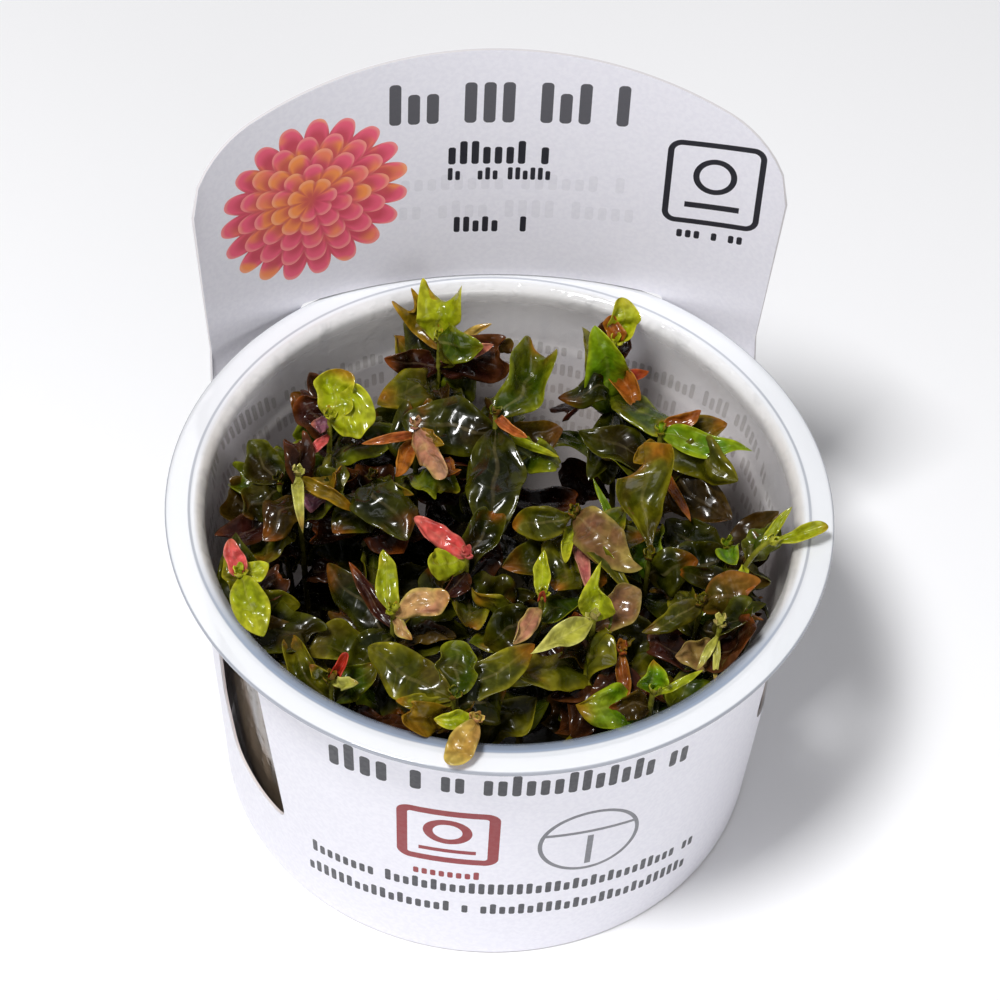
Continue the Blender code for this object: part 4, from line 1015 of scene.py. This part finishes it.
def guide_mesh(name, path, leaves, rng):
    """The stem as a line and each leaf's root as a loose point, with the leaf's numbers on it."""
    count = len(path)
    young = np.array(colour(150, 150, 48)[:3])
    old = np.array(colour(96, 70, 30)[:3])
    rows = []
    for i, here in enumerate(path):
        down = i / (count - 1)
        shade = young * (1 - down) + old * down
        row = dict.fromkeys(GUIDE_NUMBERS, 0.0)
        row.update(dict.fromkeys(GUIDE_VECTORS, (0.0, 0.0, 0.0)))
        row.update(girth=STEM_RADIUS * (0.62 + 0.3 * down) * MM, root=here * MM, leaf_main=shade,
                   leaf_edge=shade * 1.2, leaf_under=shade, seed=0.5)
        rows.append(row)
    rows += [leaf_fields(blade, rng) for blade in leaves]
    mesh = bpy.data.meshes.new(name)
    mesh.from_pydata([Vector(row["root"]) for row in rows], [(i, i + 1) for i in range(count - 1)], [])
    for field in GUIDE_NUMBERS:
        made = mesh.attributes.new(field, "FLOAT", "POINT")
        made.data.foreach_set("value", np.array([row[field] for row in rows], np.float32))
    for field in GUIDE_VECTORS:
        made = mesh.attributes.new(field, "FLOAT_VECTOR", "POINT")
        made.data.foreach_set("vector", np.array([row[field] for row in rows], np.float32).ravel())
    return mesh


def grow_shoots(skin):
    """Each shoot grown by the node tree, as one piece in the place of its plain node."""
    paths, blades = settled_leaves()
    tree = grow_shoot_tree()
    for number, (name, spec) in enumerate(SHOOTS.items()):
        rng = random.Random(100 + number)
        leaves = blades[name] + bud_leaves(spec, paths[name], rng)
        piece = linked(name.replace("shoot_", "leafy_"), guide_mesh(name, paths[name], leaves, rng))
        grow = piece.modifiers.new("Grow", "NODES")
        grow.node_group = tree
        for item in tree.interface.items_tree:
            if item.name == "Skin":
                grow[item.identifier] = skin
        settle_mesh(piece)
        for field in GUIDE_NUMBERS + GUIDE_VECTORS:
            spare = piece.data.attributes.get(field)
            if spare and not field.startswith("leaf_") and field not in ("seed", "part"):
                piece.data.attributes.remove(spare)
        stand_for(piece, name)


# Cup and gel


def softened(profile, radius, steps=4):
    """The open profile with each inner corner replaced by a short arc."""
    made = [profile[0]]
    for before, corner, after in zip(profile, profile[1:], profile[2:]):
        here = np.array(corner, float)
        back = np.array(before, float) - here
        ahead = np.array(after, float) - here
        cut = min(radius, 0.45 * np.linalg.norm(back), 0.45 * np.linalg.norm(ahead))
        start = here + unit(back) * cut
        end = here + unit(ahead) * cut
        for k in range(steps + 1):
            t = k / steps
            made.append(tuple((1 - t) ** 2 * start + 2 * t * (1 - t) * here + t ** 2 * end))
    return made + [profile[-1]]


def turned(name, profile, steps):
    """A solid of revolution from a half section."""
    mesh = bpy.data.meshes.new(name)
    edges = [(i, i + 1) for i in range(len(profile) - 1)]
    mesh.from_pydata([Vector((r, 0.0, z)) * MM for r, z in profile], edges, [])
    made = linked(name, mesh)
    screw = made.modifiers.new("Turn", "SCREW")
    screw.steps = steps
    screw.render_steps = steps
    screw.use_merge_vertices = True
    screw.merge_threshold = 1e-6
    settle_mesh(made)
    made.data.shade_smooth()
    made.data.set_sharp_from_angle(angle=math.radians(40))
    return made


def gel_profile():
    """Half section of the gel, its surface drawn up a little where it meets the wall."""
    floor = CUP_FLOOR + GAP
    foot = inner_radius(floor + BASE_ROUND) - GAP
    top = floor + GEL_DEPTH
    edge = inner_radius(top) - GAP
    surface = [(r, top - 0.35 + 0.35 * (r / edge) ** 12) for r in np.linspace(0.0, edge, 12)]
    return surface + [
        (foot, floor + BASE_ROUND),
        (foot - BASE_ROUND - GAP, floor),
        (0.0, floor),
    ]


# Card sleeve


def smooth_step(low, high, value):
    t = min(max((value - low) / (high - low), 0.0), 1.0)
    return t * t * (3.0 - 2.0 * t)


def band_top(s):
    """Height of the band's edge, which dips in a rounded notch beside the panel."""
    if abs(s) <= PANEL_HALF_WIDTH + 0.01 or abs(s) >= NOTCH_END:
        return BAND_TOP
    across = (abs(s) - PANEL_HALF_WIDTH) / (NOTCH_END - PANEL_HALF_WIDTH)
    return BAND_TOP - NOTCH_DEPTH * (1.0 - across ** 2.5)


def panel_top(s):
    """Height of the panel's arched edge at a distance from the panel's middle."""
    arch = PANEL_TOP - PANEL_ARCH_RADIUS + math.sqrt(PANEL_ARCH_RADIUS ** 2 - s * s)
    into_corner = min(max(abs(s) - (PANEL_HALF_WIDTH - PANEL_CORNER), 0.0), PANEL_CORNER)
    return arch - (PANEL_CORNER - math.sqrt(PANEL_CORNER ** 2 - into_corner ** 2)) * 0.8


def round_the_card(s):
    """The distance round the card from the panel's middle, between minus and plus half way round."""
    return (s + HALF_ROUND) % (2.0 * HALF_ROUND) - HALF_ROUND


def wrapped(s, height, out=0.0):
    """Where a point of the flat blank lies on the finished sleeve; out is off the card's middle."""
    def middle(s, height):
        radius = CARD_RIM_RADIUS + CARD_TAPER * (height - CUP_HEIGHT)
        angle = s / CARD_RIM_RADIUS
        cone = np.array((radius * math.sin(angle), radius * math.cos(angle)))
        bend = s / PANEL_CURVE_RADIUS
        apex = PANEL_APEX + PANEL_LEAN * (height - CUP_HEIGHT)
        panel = np.array((PANEL_CURVE_RADIUS * math.sin(bend),
                          apex - PANEL_CURVE_RADIUS * (1.0 - math.cos(bend))))
        share = smooth_step(CUP_HEIGHT - 27.0, CUP_HEIGHT - 1.8, height)
        share *= 1.0 - smooth_step(46.5, 62.0, abs(s))
        x, y = cone * (1.0 - share) + panel * share
        turn = -PANEL_TURN
        return np.array((x * math.cos(turn) - y * math.sin(turn),
                         x * math.sin(turn) + y * math.cos(turn), height))
    s = round_the_card(s)
    here = middle(s, height)
    along = middle(s + 0.05, height) - middle(s - 0.05, height)
    upward = middle(s, height + 0.05) - middle(s, height - 0.05)
    return here + out * unit(np.cross(upward, along))


def card_blank():
    """The flat blank as a fine sheet in the XZ plane: a band, and the arched panel above its middle."""
    first = SEAM - 2.0 * HALF_ROUND
    panel = np.linspace(-PANEL_HALF_WIDTH, PANEL_HALF_WIDTH, 61)
    notch = np.linspace(PANEL_HALF_WIDTH, NOTCH_END, 9)[1:]
    right = np.linspace(NOTCH_END, SEAM, 8)[1:]
    left = np.linspace(first, -NOTCH_END, round((-NOTCH_END - first) / CARD_STEP) + 1)[:-1]
    columns = np.concatenate((left, -notch[::-1], panel, notch, right))
    work = bmesh.new()
    known = {}

    def point(s, height):
        key = (round(s, 4), round(height, 4))
        if key not in known:
            known[key] = work.verts.new(Vector((s, 0.0, height)) * MM)
        return known[key]

    def column(s, in_panel):
        top = BAND_TOP if in_panel else band_top(s)
        edge = [(s, CARD_FOOT + (top - CARD_FOOT) * t) for t in np.linspace(0.0, 1.0, 25)]
        if in_panel:
            for height in np.linspace(BAND_TOP, panel_top(s), 21)[1:]:
                edge.append((s * (1.0 + PANEL_WIDENING * (height - BAND_TOP)), height))
        return edge

    for left_s, right_s in zip(columns, columns[1:]):
        in_panel = max(abs(left_s), abs(right_s)) <= PANEL_HALF_WIDTH + 1e-6
        left_edge = column(left_s, in_panel)
        right_edge = column(right_s, in_panel)
        for corners in zip(left_edge, right_edge, right_edge[1:], left_edge[1:]):
            work.faces.new([point(*corner) for corner in corners])
    mesh = bpy.data.meshes.new("printed_sleeve")
    work.to_mesh(mesh)
    work.free()
    return linked("printed_sleeve", mesh)


def rounded(outline, radius, steps=6):
    """The closed outline with each corner replaced by a short arc."""
    looped = [outline[-1], *outline, outline[0]]
    return softened(looped, radius, steps)[1:-1]


def slot_outline():
    half = (SLOT_HIGH - SLOT_LOW) / 2.0
    middle = (SLOT_HIGH + SLOT_LOW) / 2.0
    turns = [math.pi / 2 - math.pi * k / 8 for k in range(9)]
    right = [(SLOT_HALF_LENGTH - half + half * math.cos(t), middle + half * math.sin(t)) for t in turns]
    left = [(-s, 2 * middle - height) for s, height in right]
    return right + left


def punch(name, outline):
    """A prism that cuts right through the flat blank."""
    work = bmesh.new()
    face = work.faces.new([work.verts.new(Vector((s, -2.0, height)) * MM) for s, height in outline])
    raised = bmesh.ops.extrude_face_region(work, geom=[face])["geom"]
    moved = [item for item in raised if isinstance(item, bmesh.types.BMVert)]
    bmesh.ops.translate(work, verts=moved, vec=Vector((0.0, 4.0, 0.0)) * MM)
    bmesh.ops.recalc_face_normals(work, faces=work.faces)
    mesh = bpy.data.meshes.new(name)
    work.to_mesh(mesh)
    work.free()
    return linked(name, mesh)


def printed_sleeve():
    """Cut the blank while it is flat, remember each point's place on it, then wrap it round the cup."""
    blank = card_blank()
    sheet = blank.modifiers.new("Card", "SOLIDIFY")
    sheet.thickness = CARD * MM
    sheet.offset = 0.0
    right_window = [(s - 2.0 * HALF_ROUND, height) for s, height in RIGHT_WINDOW]
    outlines = (slot_outline(), rounded(LEFT_WINDOW, 3.0), rounded(right_window, 3.0))
    punches = [punch("punch", outline) for outline in outlines]
    for tool in punches:
        cut = blank.modifiers.new("Cut", "BOOLEAN")
        cut.operation = "DIFFERENCE"
        cut.object = tool
    settle_mesh(blank)
    for tool in punches:
        bpy.data.objects.remove(tool)
    flat = blank.data
    ends = (SEAM * MM, (SEAM - 2.0 * HALF_ROUND) * MM)
    work = bmesh.new()
    work.from_mesh(flat)
    at_seam = [f for f in work.faces if any(all(abs(v.co.x - end) < 1e-6 for v in f.verts) for end in ends)]
    bmesh.ops.delete(work, geom=at_seam, context="FACES")
    work.to_mesh(flat)
    work.free()
    places = np.zeros(len(flat.vertices) * 3, np.float32)
    flat.vertices.foreach_get("co", places)
    corners = np.zeros(len(flat.loops), np.int32)
    flat.loops.foreach_get("vertex_index", corners)
    on_blank = flat.attributes.new("on_blank", "FLOAT_VECTOR", "CORNER")
    on_blank.data.foreach_set("vector", (places.reshape(-1, 3)[corners] / MM).ravel())
    for vert in flat.vertices:
        vert.co = Vector(wrapped(vert.co.x / MM, vert.co.z / MM, -vert.co.y / MM)) * MM
    work = bmesh.new()
    work.from_mesh(flat)
    bmesh.ops.remove_doubles(work, verts=work.verts, dist=1e-5)
    bmesh.ops.recalc_face_normals(work, faces=work.faces)
    work.to_mesh(flat)
    work.free()
    flat.shade_smooth()
    flat.set_sharp_from_angle(angle=math.radians(40))
    return blank


# Materials


def new_material(name):
    """A material with a plain shader, and the tree that feeds it."""
    made = bpy.data.materials.new(name)
    made.use_nodes = True
    nodes = Nodes(made.node_tree)
    shader = nodes.add("ShaderNodeBsdfPrincipled")
    nodes.add("ShaderNodeOutputMaterial", None, {"Surface": Value(nodes, shader.outputs[0])})
    return made, nodes, shader


def feed(nodes, shader, **sockets):
    """Sets or links the shader's sockets; an underscore stands for a space."""
    for name, value in sockets.items():
        socket = shader.inputs[name.replace("_", " ")]
        if isinstance(value, Value):
            nodes.tree.links.new(value.socket, socket)
        else:
            socket.default_value = value


def leaf_skin():
    """Wet leaf: its own colour, a lighter edge and midrib, fine veins, mottling, a film of water, and
    painted shade that darkens it deep in the cup.
    """
    made, nodes, shader = new_material("wet_leaf")

    def stored(name, output):
        return nodes.out("ShaderNodeAttribute", {"attribute_name": name}, None, output)

    main = stored("leaf_main", "Color")
    edge = stored("leaf_edge", "Color")
    under = stored("leaf_under", "Color")
    t = stored("along", "Fac")
    v = abs(stored("across", "Fac"))
    over = stored("over", "Fac")
    seed = stored("seed", "Fac")
    is_leaf = nodes.ramp(stored("part", "Fac"), 0.4, 0.6)
    place = nodes.out("ShaderNodeTexCoord", None, None, "Object")
    blotch = nodes.noise(place, 210.0, 1.0)
    speck = nodes.noise(place, 900.0, 1.0)
    below = nodes.ramp(over, -0.25, 0.05, 1.0, 0.0) * is_leaf
    rim = nodes.ramp(v, 0.55, 1.0) * 0.6 + nodes.ramp(t, 0.6, 1.0) * 0.4
    rim = rim + nodes.ramp(blotch, 0.48, 0.66) * 0.35
    shade = nodes.blend(nodes.least(rim, 1.0) * is_leaf, main, edge)
    red = nodes.ramp(nodes.noise(place + (0.03, 0.07, 0.01), 130.0, 1.0), 0.52, 0.68) * 0.55
    shade = nodes.blend(red * is_leaf, shade, nodes.blend(0.5, under, main))
    burnt = nodes.ramp(t, 0.68, 0.98) * nodes.ramp(blotch, 0.40, 0.60) * is_leaf
    burnt = burnt * nodes.ramp(seed, 0.35, 0.45)
    shade = nodes.blend(burnt * 0.7, shade, colour(150, 74, 18))
    shade = nodes.blend(below * 0.75, shade, under)
    midrib = nodes.ramp(v, 0.03, 0.10, 1.0, 0.0) * nodes.ramp(t, 0.35, 1.0, 1.0, 0.15) * is_leaf
    side_veins = nodes.part(t * 7.0 + seed + v * 1.1)
    side_veins = nodes.ramp(abs(side_veins - 0.5), 0.03, 0.12, 1.0, 0.0) * is_leaf
    side_veins = side_veins * nodes.ramp(v, 0.05, 0.9, 1.0, 0.0)
    shade = nodes.blend(midrib * 0.16, shade, nodes.blend(0.5, edge, (0.6, 0.45, 0.25, 1.0)))
    shade = nodes.blend(side_veins * 0.10, shade, edge)
    level = nodes.ramp(speck, 0.3, 0.7, 0.62, 1.02) * nodes.ramp(t, 0.0, 0.3, 0.82, 1.0)
    # Painted shade: the leaves are darker the lower they sit in the cup
    level = level * nodes.ramp(nodes.axes(place)[2], SHADE_FULL_HEIGHT * MM, SHADE_FREE_HEIGHT * MM, 0.4, 1.0)
    shade = shade * level
    bright_rim = nodes.ramp(v, 0.93, 1.0) * is_leaf * 0.3
    shade = nodes.blend(bright_rim, shade, edge)
    film = nodes.ramp(blotch, 0.35, 0.6, 0.9, 0.3)
    height = speck * 0.35 + nodes.noise(place, 420.0, 1.0) * 0.9 - midrib * 0.7 - side_veins * 0.35
    bump = nodes.out("ShaderNodeBump", None, {"Strength": 0.4, "Distance": 0.0002, "Height": height})
    feed(nodes, shader, Base_Color=shade, Roughness=nodes.ramp(speck, 0.3, 0.7, 0.14, 0.34),
         Coat_Weight=film, Coat_Roughness=0.05, Coat_IOR=1.3, Normal=bump, Specular_IOR_Level=0.16)
    return made


def clear_plastic():
    """Clear cup: slightly milky, with wet streaks down the wall. Painted light: a blue-grey reflection on
    the rim's inner round at the front, a whiter rim at the back, grey shade lines at a groove and the
    flange's edge, and the shaded inside painted brown on the wall behind the left window.
    """
    made, nodes, shader = new_material("clear_plastic")
    place = nodes.out("ShaderNodeTexCoord", None, None, "Object")
    x, y, z = nodes.axes(place)
    reach = nodes.root(x * x + y * y)
    streaks = nodes.noise(nodes.vector(x * 420.0, y * 420.0, z * 40.0), 1.0, 1.0)
    drops = nodes.noise(place, 520.0, 1.0)
    rim = nodes.ramp(z, (CUP_HEIGHT - 4.0) * MM, (CUP_HEIGHT - 0.3) * MM)
    flange = nodes.ramp(reach, (MOUTH_RADIUS + 1.0) * MM, (MOUTH_RADIUS + 1.8) * MM) * rim
    rounded_rim = rim * (1.0 - flange)
    in_front = nodes.ramp(y, -10.0 * MM, -36.0 * MM)
    clear = nodes.blend(flange, colour(236, 232, 226), colour(247, 249, 253))
    # Painted reflection: a blue-grey band on the rim's inner round, at the front only
    front_rim_reflection = nodes.ramp(reach, (MOUTH_RADIUS + 2.2) * MM, (MOUTH_RADIUS + 2.7) * MM, 1.0, 0.0)
    front_rim_reflection = front_rim_reflection * rim * in_front
    # Painted light: the rounded rim at the back is whiter and a little more opaque
    lit_rim_at_back = nodes.ramp(y, 8.0 * MM, 30.0 * MM) * rounded_rim
    shoulder = CUP_HEIGHT - SHOULDER_DEPTH
    upper_band = nodes.ramp(z, (shoulder - 1.0) * MM, (shoulder + 1.0) * MM)
    # Painted shade: grey lines at a groove in the rim and along the flange's outer edge
    groove_shade_line = nodes.ramp(abs(reach - GROOVE_SHADE_RADIUS * MM), 0.12 * MM, 0.3 * MM, 1.0, 0.0) * rim
    flange_edge_shade = nodes.ramp(reach, (FLANGE_RADIUS - 0.35) * MM, (FLANGE_RADIUS - 0.1) * MM)
    groove_shade_line = nodes.most(groove_shade_line * 0.8, flange_edge_shade)
    clear = nodes.blend(groove_shade_line, clear, colour(156, 160, 170))
    clear = nodes.blend(lit_rim_at_back * 0.7, clear, colour(252, 253, 255))
    shade = nodes.blend(front_rim_reflection * 0.95, clear, colour(142, 156, 178))
    # Painted shade: behind the left window the wall is painted the streaky brown of the shaded inside, with
    # a blue-grey painted shadow strip at the card's edge
    window_view_shade = nodes.ramp((x * WINDOW_VIEW_SIDE[0] + y * WINDOW_VIEW_SIDE[1]) / reach, 0.86, 0.92) * (1.0 - upper_band)
    edge_shadow_strip = nodes.ramp((x * WINDOW_VIEW_EDGE[0] + y * WINDOW_VIEW_EDGE[1]) / reach, 0.9915, 0.9935)
    window_view_colour = nodes.blend(nodes.ramp(streaks, 0.4, 0.6), colour(150, 132, 112), colour(104, 90, 74))
    window_view_colour = nodes.blend(edge_shadow_strip, window_view_colour, colour(176, 182, 190))
    shade = nodes.blend(window_view_shade, shade, window_view_colour)
    alpha = 0.16 + rounded_rim * 0.28 + flange * 0.44 + lit_rim_at_back * 0.1 + upper_band * 0.08
    alpha = alpha + window_view_shade * 0.45 + groove_shade_line * 0.3
    height = (streaks * 0.8 + nodes.ramp(drops, 0.55, 0.7) * 0.5) * (1.0 - flange)
    bump = nodes.out("ShaderNodeBump", None, {"Strength": 0.35, "Distance": 0.0004, "Height": height})
    shade = nodes.blend(nodes.ramp(streaks, 0.5, 0.7) * (1.0 - flange) * 0.3, shade, colour(190, 190, 190))
    feed(nodes, shader, Base_Color=shade, Roughness=nodes.ramp(drops, 0.3, 0.7, 0.05, 0.16), Alpha=alpha,
         IOR=1.49, Normal=bump, Coat_Weight=0.3, Coat_Roughness=0.03)
    return made


def culture_gel():
    """Agar gel: hazy, beige, glossy, with a few darker clouds."""
    made, nodes, shader = new_material("culture_gel")
    place = nodes.out("ShaderNodeTexCoord", None, None, "Object")
    cloud = nodes.noise(place, 90.0, 2.0)
    shade = nodes.blend(nodes.ramp(cloud, 0.35, 0.65), colour(78, 68, 38), colour(38, 34, 16))
    bump = nodes.out("ShaderNodeBump", None, {"Strength": 0.3, "Distance": 0.0006, "Height": cloud})
    feed(nodes, shader, Base_Color=shade, Roughness=nodes.ramp(cloud, 0.3, 0.7, 0.10, 0.25), Normal=bump,
         Transmission_Weight=0.3, IOR=1.34)
    return made


def strokes(nodes, x, y, rows, seed=0.0):
    """Rows of small rounded upright strokes in groups, like words too small to read.

    Each row has its left end, how many strokes it has room for, its foot, its head and its pitch.
    """
    start = low = tall = pitch = 0.0
    for left, count, foot, head, step in rows:
        half = count * step / 2.0
        here = nodes.near(x, left + half, half) * nodes.near(y, (foot + head) / 2.0, (head - foot) / 2.0)
        start = nodes.work("MULTIPLY_ADD", here, left, start)
        low = nodes.work("MULTIPLY_ADD", here, foot, low)
        tall = nodes.work("MULTIPLY_ADD", here, head - foot, tall)
        pitch = nodes.work("MULTIPLY_ADD", here, step, pitch)
    step = nodes.most(pitch, 0.5)
    run = (x - start) / step
    chance = nodes.out("ShaderNodeTexWhiteNoise", {"noise_dimensions": "1D"},
                       {"W": nodes.whole(run) + low * 7.3 + seed})
    tall = tall * (0.74 + 0.26 * nodes.less(0.62, chance))
    beside = nodes.most(abs(nodes.part(run) - 0.5) * step - step * 0.08, 0.0)
    above = nodes.most(abs(y - low - tall * 0.5) - tall * 0.5 + step * 0.24, 0.0)
    drawn = nodes.less(beside * beside + above * above, step * step * 0.0576)
    return drawn * nodes.less(0.14, chance) * nodes.less(0.0, pitch)


def layered_flower(nodes, s, height, place):
    """A round flower of scalloped layers in pink and orange: its mask and its colour."""
    across = s - FLOWER_PLACE[0]
    above = height - FLOWER_PLACE[1]
    reach = nodes.root(across * across + above * above)
    turn = nodes.work("ARCTAN2", above, across) / (2.0 * math.pi)
    mask = beside = edge = None
    for layer, radius in enumerate(FLOWER_LAYERS):
        side = abs(nodes.part(turn * (19.0 - 3.0 * layer) + 0.37 * layer + 10.0) - 0.5) * 2.0
        rim = radius * (1.0 - 0.20 * side ** 2.5)
        inside = nodes.less(reach, rim)
        if layer == 0:
            mask, beside, edge = inside, side, rim
        else:
            beside = beside + inside * (side - beside)
            edge = edge + inside * (rim - edge)
    tucked = nodes.ramp(edge - reach, 0.9, 3.2)
    warm = nodes.ramp(nodes.noise(place, 170.0, 1.0) - reach * 0.012, 0.36, 0.52)
    tint = nodes.blend(warm, colour(238, 84, 116), colour(246, 142, 60))
    tint = nodes.blend(nodes.ramp(edge - reach, 0.1, 0.9, 0.4, 0.0), tint, colour(252, 190, 160))
    shaded = nodes.most(tucked * 0.8, nodes.ramp(beside, 0.6, 1.0) * 0.7)
    tint = nodes.blend(shaded, tint, colour(190, 42, 62))
    return mask, tint


def printed_card():
    """White coated card with grey board at its cut edges, and plain strokes and shapes for its print; its
    inner face has a painted warm shade lower down.
    """
    made, nodes, shader = new_material("printed_card")
    blank = nodes.out("ShaderNodeAttribute", {"attribute_name": "on_blank"}, None, "Vector")
    s, out, height = nodes.axes(blank)
    place = nodes.out("ShaderNodeTexCoord", None, None, "Object")
    fibre = nodes.noise(place, 1400.0, 1.0)
    paper = nodes.blend(nodes.ramp(fibre, 0.3, 0.7), colour(235, 234, 242), colour(230, 229, 238))
    outside = nodes.less(out, 0.0)
    inside = 1.0 - outside
    cut_edge = nodes.ramp(abs(out), 0.20, 0.245, 1.0, 0.0)
    dark = colour(40, 40, 48)
    grey = colour(62, 64, 72)

    # Places on the printed face: the panel's inner face, or the band's outer face from its front middle
    front = -1.0 * s - HALF_ROUND
    off_middle = s - 2.0
    panel_y = height - off_middle * off_middle * PANEL_ROW_RISE
    front_y = height + front * front * BAND_ROW_DROP + front * BAND_ROW_TILT
    line = (height - SMALL_FOOT) / SMALL_SPACING
    small = inside * nodes.near(height, SMALL_FOOT + 2.5 * SMALL_SPACING, 2.5 * SMALL_SPACING)
    x = inside * s + outside * front
    y = inside * panel_y + outside * (front_y + BAND_FOOT)
    row_y = y + small * (nodes.part(line) * SMALL_SPACING - 100.0 - y)
    ink = strokes(nodes, x, row_y, PRINT_ROWS, nodes.whole(line) * small * 31.0)
    ink = ink * nodes.most(small, nodes.less(abs(x), 45.0))
    back_ink = strokes(nodes, s, panel_y, BACK_ROWS)

    # A rounded square with a ring and a bar in it: dark on the panel, red on the band
    u = x - DARK_SIGN[0] * inside - RED_SIGN[0] * outside
    v = inside * (panel_y - DARK_SIGN[1]) + outside * (front_y - RED_SIGN[1]) * 1.13
    beside = nodes.most(abs(u) - 5.6, 0.0)
    above = nodes.most(abs(v) - 6.0, 0.0)
    corner = nodes.root(beside * beside + above * above)
    emblem = nodes.near(corner, 1.75 - 0.35 * outside, 0.5 + 0.35 * outside)
    ring = nodes.root(u * u + (v - 1.6) * (v - 1.6))
    emblem = nodes.most(emblem, nodes.near(ring, 3.0, 0.5 + 0.25 * outside))
    emblem = nodes.most(emblem, nodes.near(u, 0.0, 4.4) * nodes.near(v, -4.4, 0.55))
    red = outside * nodes.near(front, RED_SIGN[0], 9.5) * nodes.near(front_y, RED_SIGN[1] - 2.0, 10.2)

    # A ring with two bars, beside it
    u = front - TUB_SIGN[0]
    v = front_y - TUB_SIGN[1]
    tub = nodes.near(nodes.root(u * u + v * v), TUB_RADIUS, 0.35)
    tub = nodes.most(tub, nodes.near(u, 0.0, 7.2) * nodes.near(v, 2.6, 0.35))
    tub = nodes.most(tub, nodes.near(u, 0.0, 0.5) * nodes.near(v, -2.6, 4.0))

    flower, flower_tint = layered_flower(nodes, s, height, place)
    shade = nodes.blend(back_ink * (0.08 + outside * 0.8), paper, grey)
    shade = nodes.blend(flower * inside * 0.95, shade, flower_tint)
    shade = nodes.blend(tub * outside * 0.85, shade, grey)
    strength = 1.0 - small * 0.45 - nodes.near(row_y, 95.0, 5.0) * 0.1
    ink_colour = nodes.blend(red, dark, colour(138, 3, 15))
    shade = nodes.blend(nodes.most(ink, emblem) * strength, shade, ink_colour)
    shade = nodes.blend(cut_edge * 0.6, shade, colour(196, 190, 186))
    # Painted shade: the inner face is tinted warm grey lower down, for light bounced off the leaves
    bounce_shade = inside * nodes.ramp(height, 34.0, 52.0, 0.5, 0.0)
    shade = nodes.blend(bounce_shade, shade, colour(206, 186, 176))
    bump = nodes.out("ShaderNodeBump", None, {"Strength": 0.12, "Distance": 0.0001, "Height": fibre})
    feed(nodes, shader, Base_Color=shade, Roughness=nodes.ramp(fibre, 0.3, 0.7, 0.34, 0.5), Normal=bump,
         Coat_Weight=0.15, Coat_Roughness=0.25)
    return made


def pale_floor():
    """Plain pale floor."""
    made, nodes, shader = new_material("pale_floor")
    feed(nodes, shader, Base_Color=colour(248, 248, 250), Roughness=0.7)
    return made


# Stage


def stage():
    """A plain pale floor and soft studio light."""
    work = bmesh.new()
    bmesh.ops.create_grid(work, x_segments=2, y_segments=2, size=4.0)
    mesh = bpy.data.meshes.new("floor")
    work.to_mesh(mesh)
    work.free()
    floor = linked("floor", mesh)
    floor.data.materials.append(pale_floor())

    for name, place, size, power in LIGHTS:
        light = bpy.data.lights.new(name, "AREA")
        light.shape = "RECTANGLE"
        light.size, light.size_y = size
        light.energy = power
        box = bpy.data.objects.new(name, light)
        box.location = place
        box.rotation_euler = (Vector(LIGHT_AIM) - Vector(place)).to_track_quat("-Z", "Y").to_euler()
        bpy.context.scene.collection.objects.link(box)

    world = bpy.data.worlds.new("studio")
    world.use_nodes = True
    nodes = Nodes(world.node_tree)
    sky = nodes.out("ShaderNodeBackground", None, {"Color": (1.0, 1.0, 1.0, 1.0), "Strength": 0.20})
    nodes.add("ShaderNodeOutputWorld", None, {"Surface": sky})
    bpy.context.scene.world = world
    bpy.context.scene.view_settings.view_transform = "Standard"


def photograph_camera():
    """The camera: its place, what it looks at, and a small roll."""
    place = Vector(CAMERA_PLACE)
    target = Vector(CAMERA_TARGET)
    roll = CAMERA_ROLL
    ahead = (target - place).normalized()
    right = ahead.cross(Vector((0.0, 0.0, 1.0))).normalized()
    above = right.cross(ahead)
    turned_right = right * math.cos(roll) + above * math.sin(roll)
    turned_above = above * math.cos(roll) - right * math.sin(roll)
    data = bpy.data.cameras.new("camera")
    data.lens = CAMERA_LENS
    data.sensor_width = 36.0
    data.shift_x, data.shift_y = CAMERA_SHIFT
    data.clip_start = 0.01
    camera = bpy.data.objects.new("camera", data)
    camera.matrix_world = Matrix((
        (turned_right.x, turned_above.x, -ahead.x, place.x),
        (turned_right.y, turned_above.y, -ahead.y, place.y),
        (turned_right.z, turned_above.z, -ahead.z, place.z),
        (0.0, 0.0, 0.0, 1.0)))
    bpy.context.scene.collection.objects.link(camera)
    bpy.context.scene.camera = camera


def main():
    photograph_camera()
    cup = turned("clear_cup", softened(cup_profile(), 0.7), CUP_STEPS)
    stand_for(cup, "cup", clear_plastic())
    gel = turned("gel_layer", softened(gel_profile(), 0.5, 2), 72)
    stand_for(gel, "culture_gel", culture_gel())
    stand_for(printed_sleeve(), "card_sleeve", printed_card())
    grow_shoots(leaf_skin())
    stage()


main()
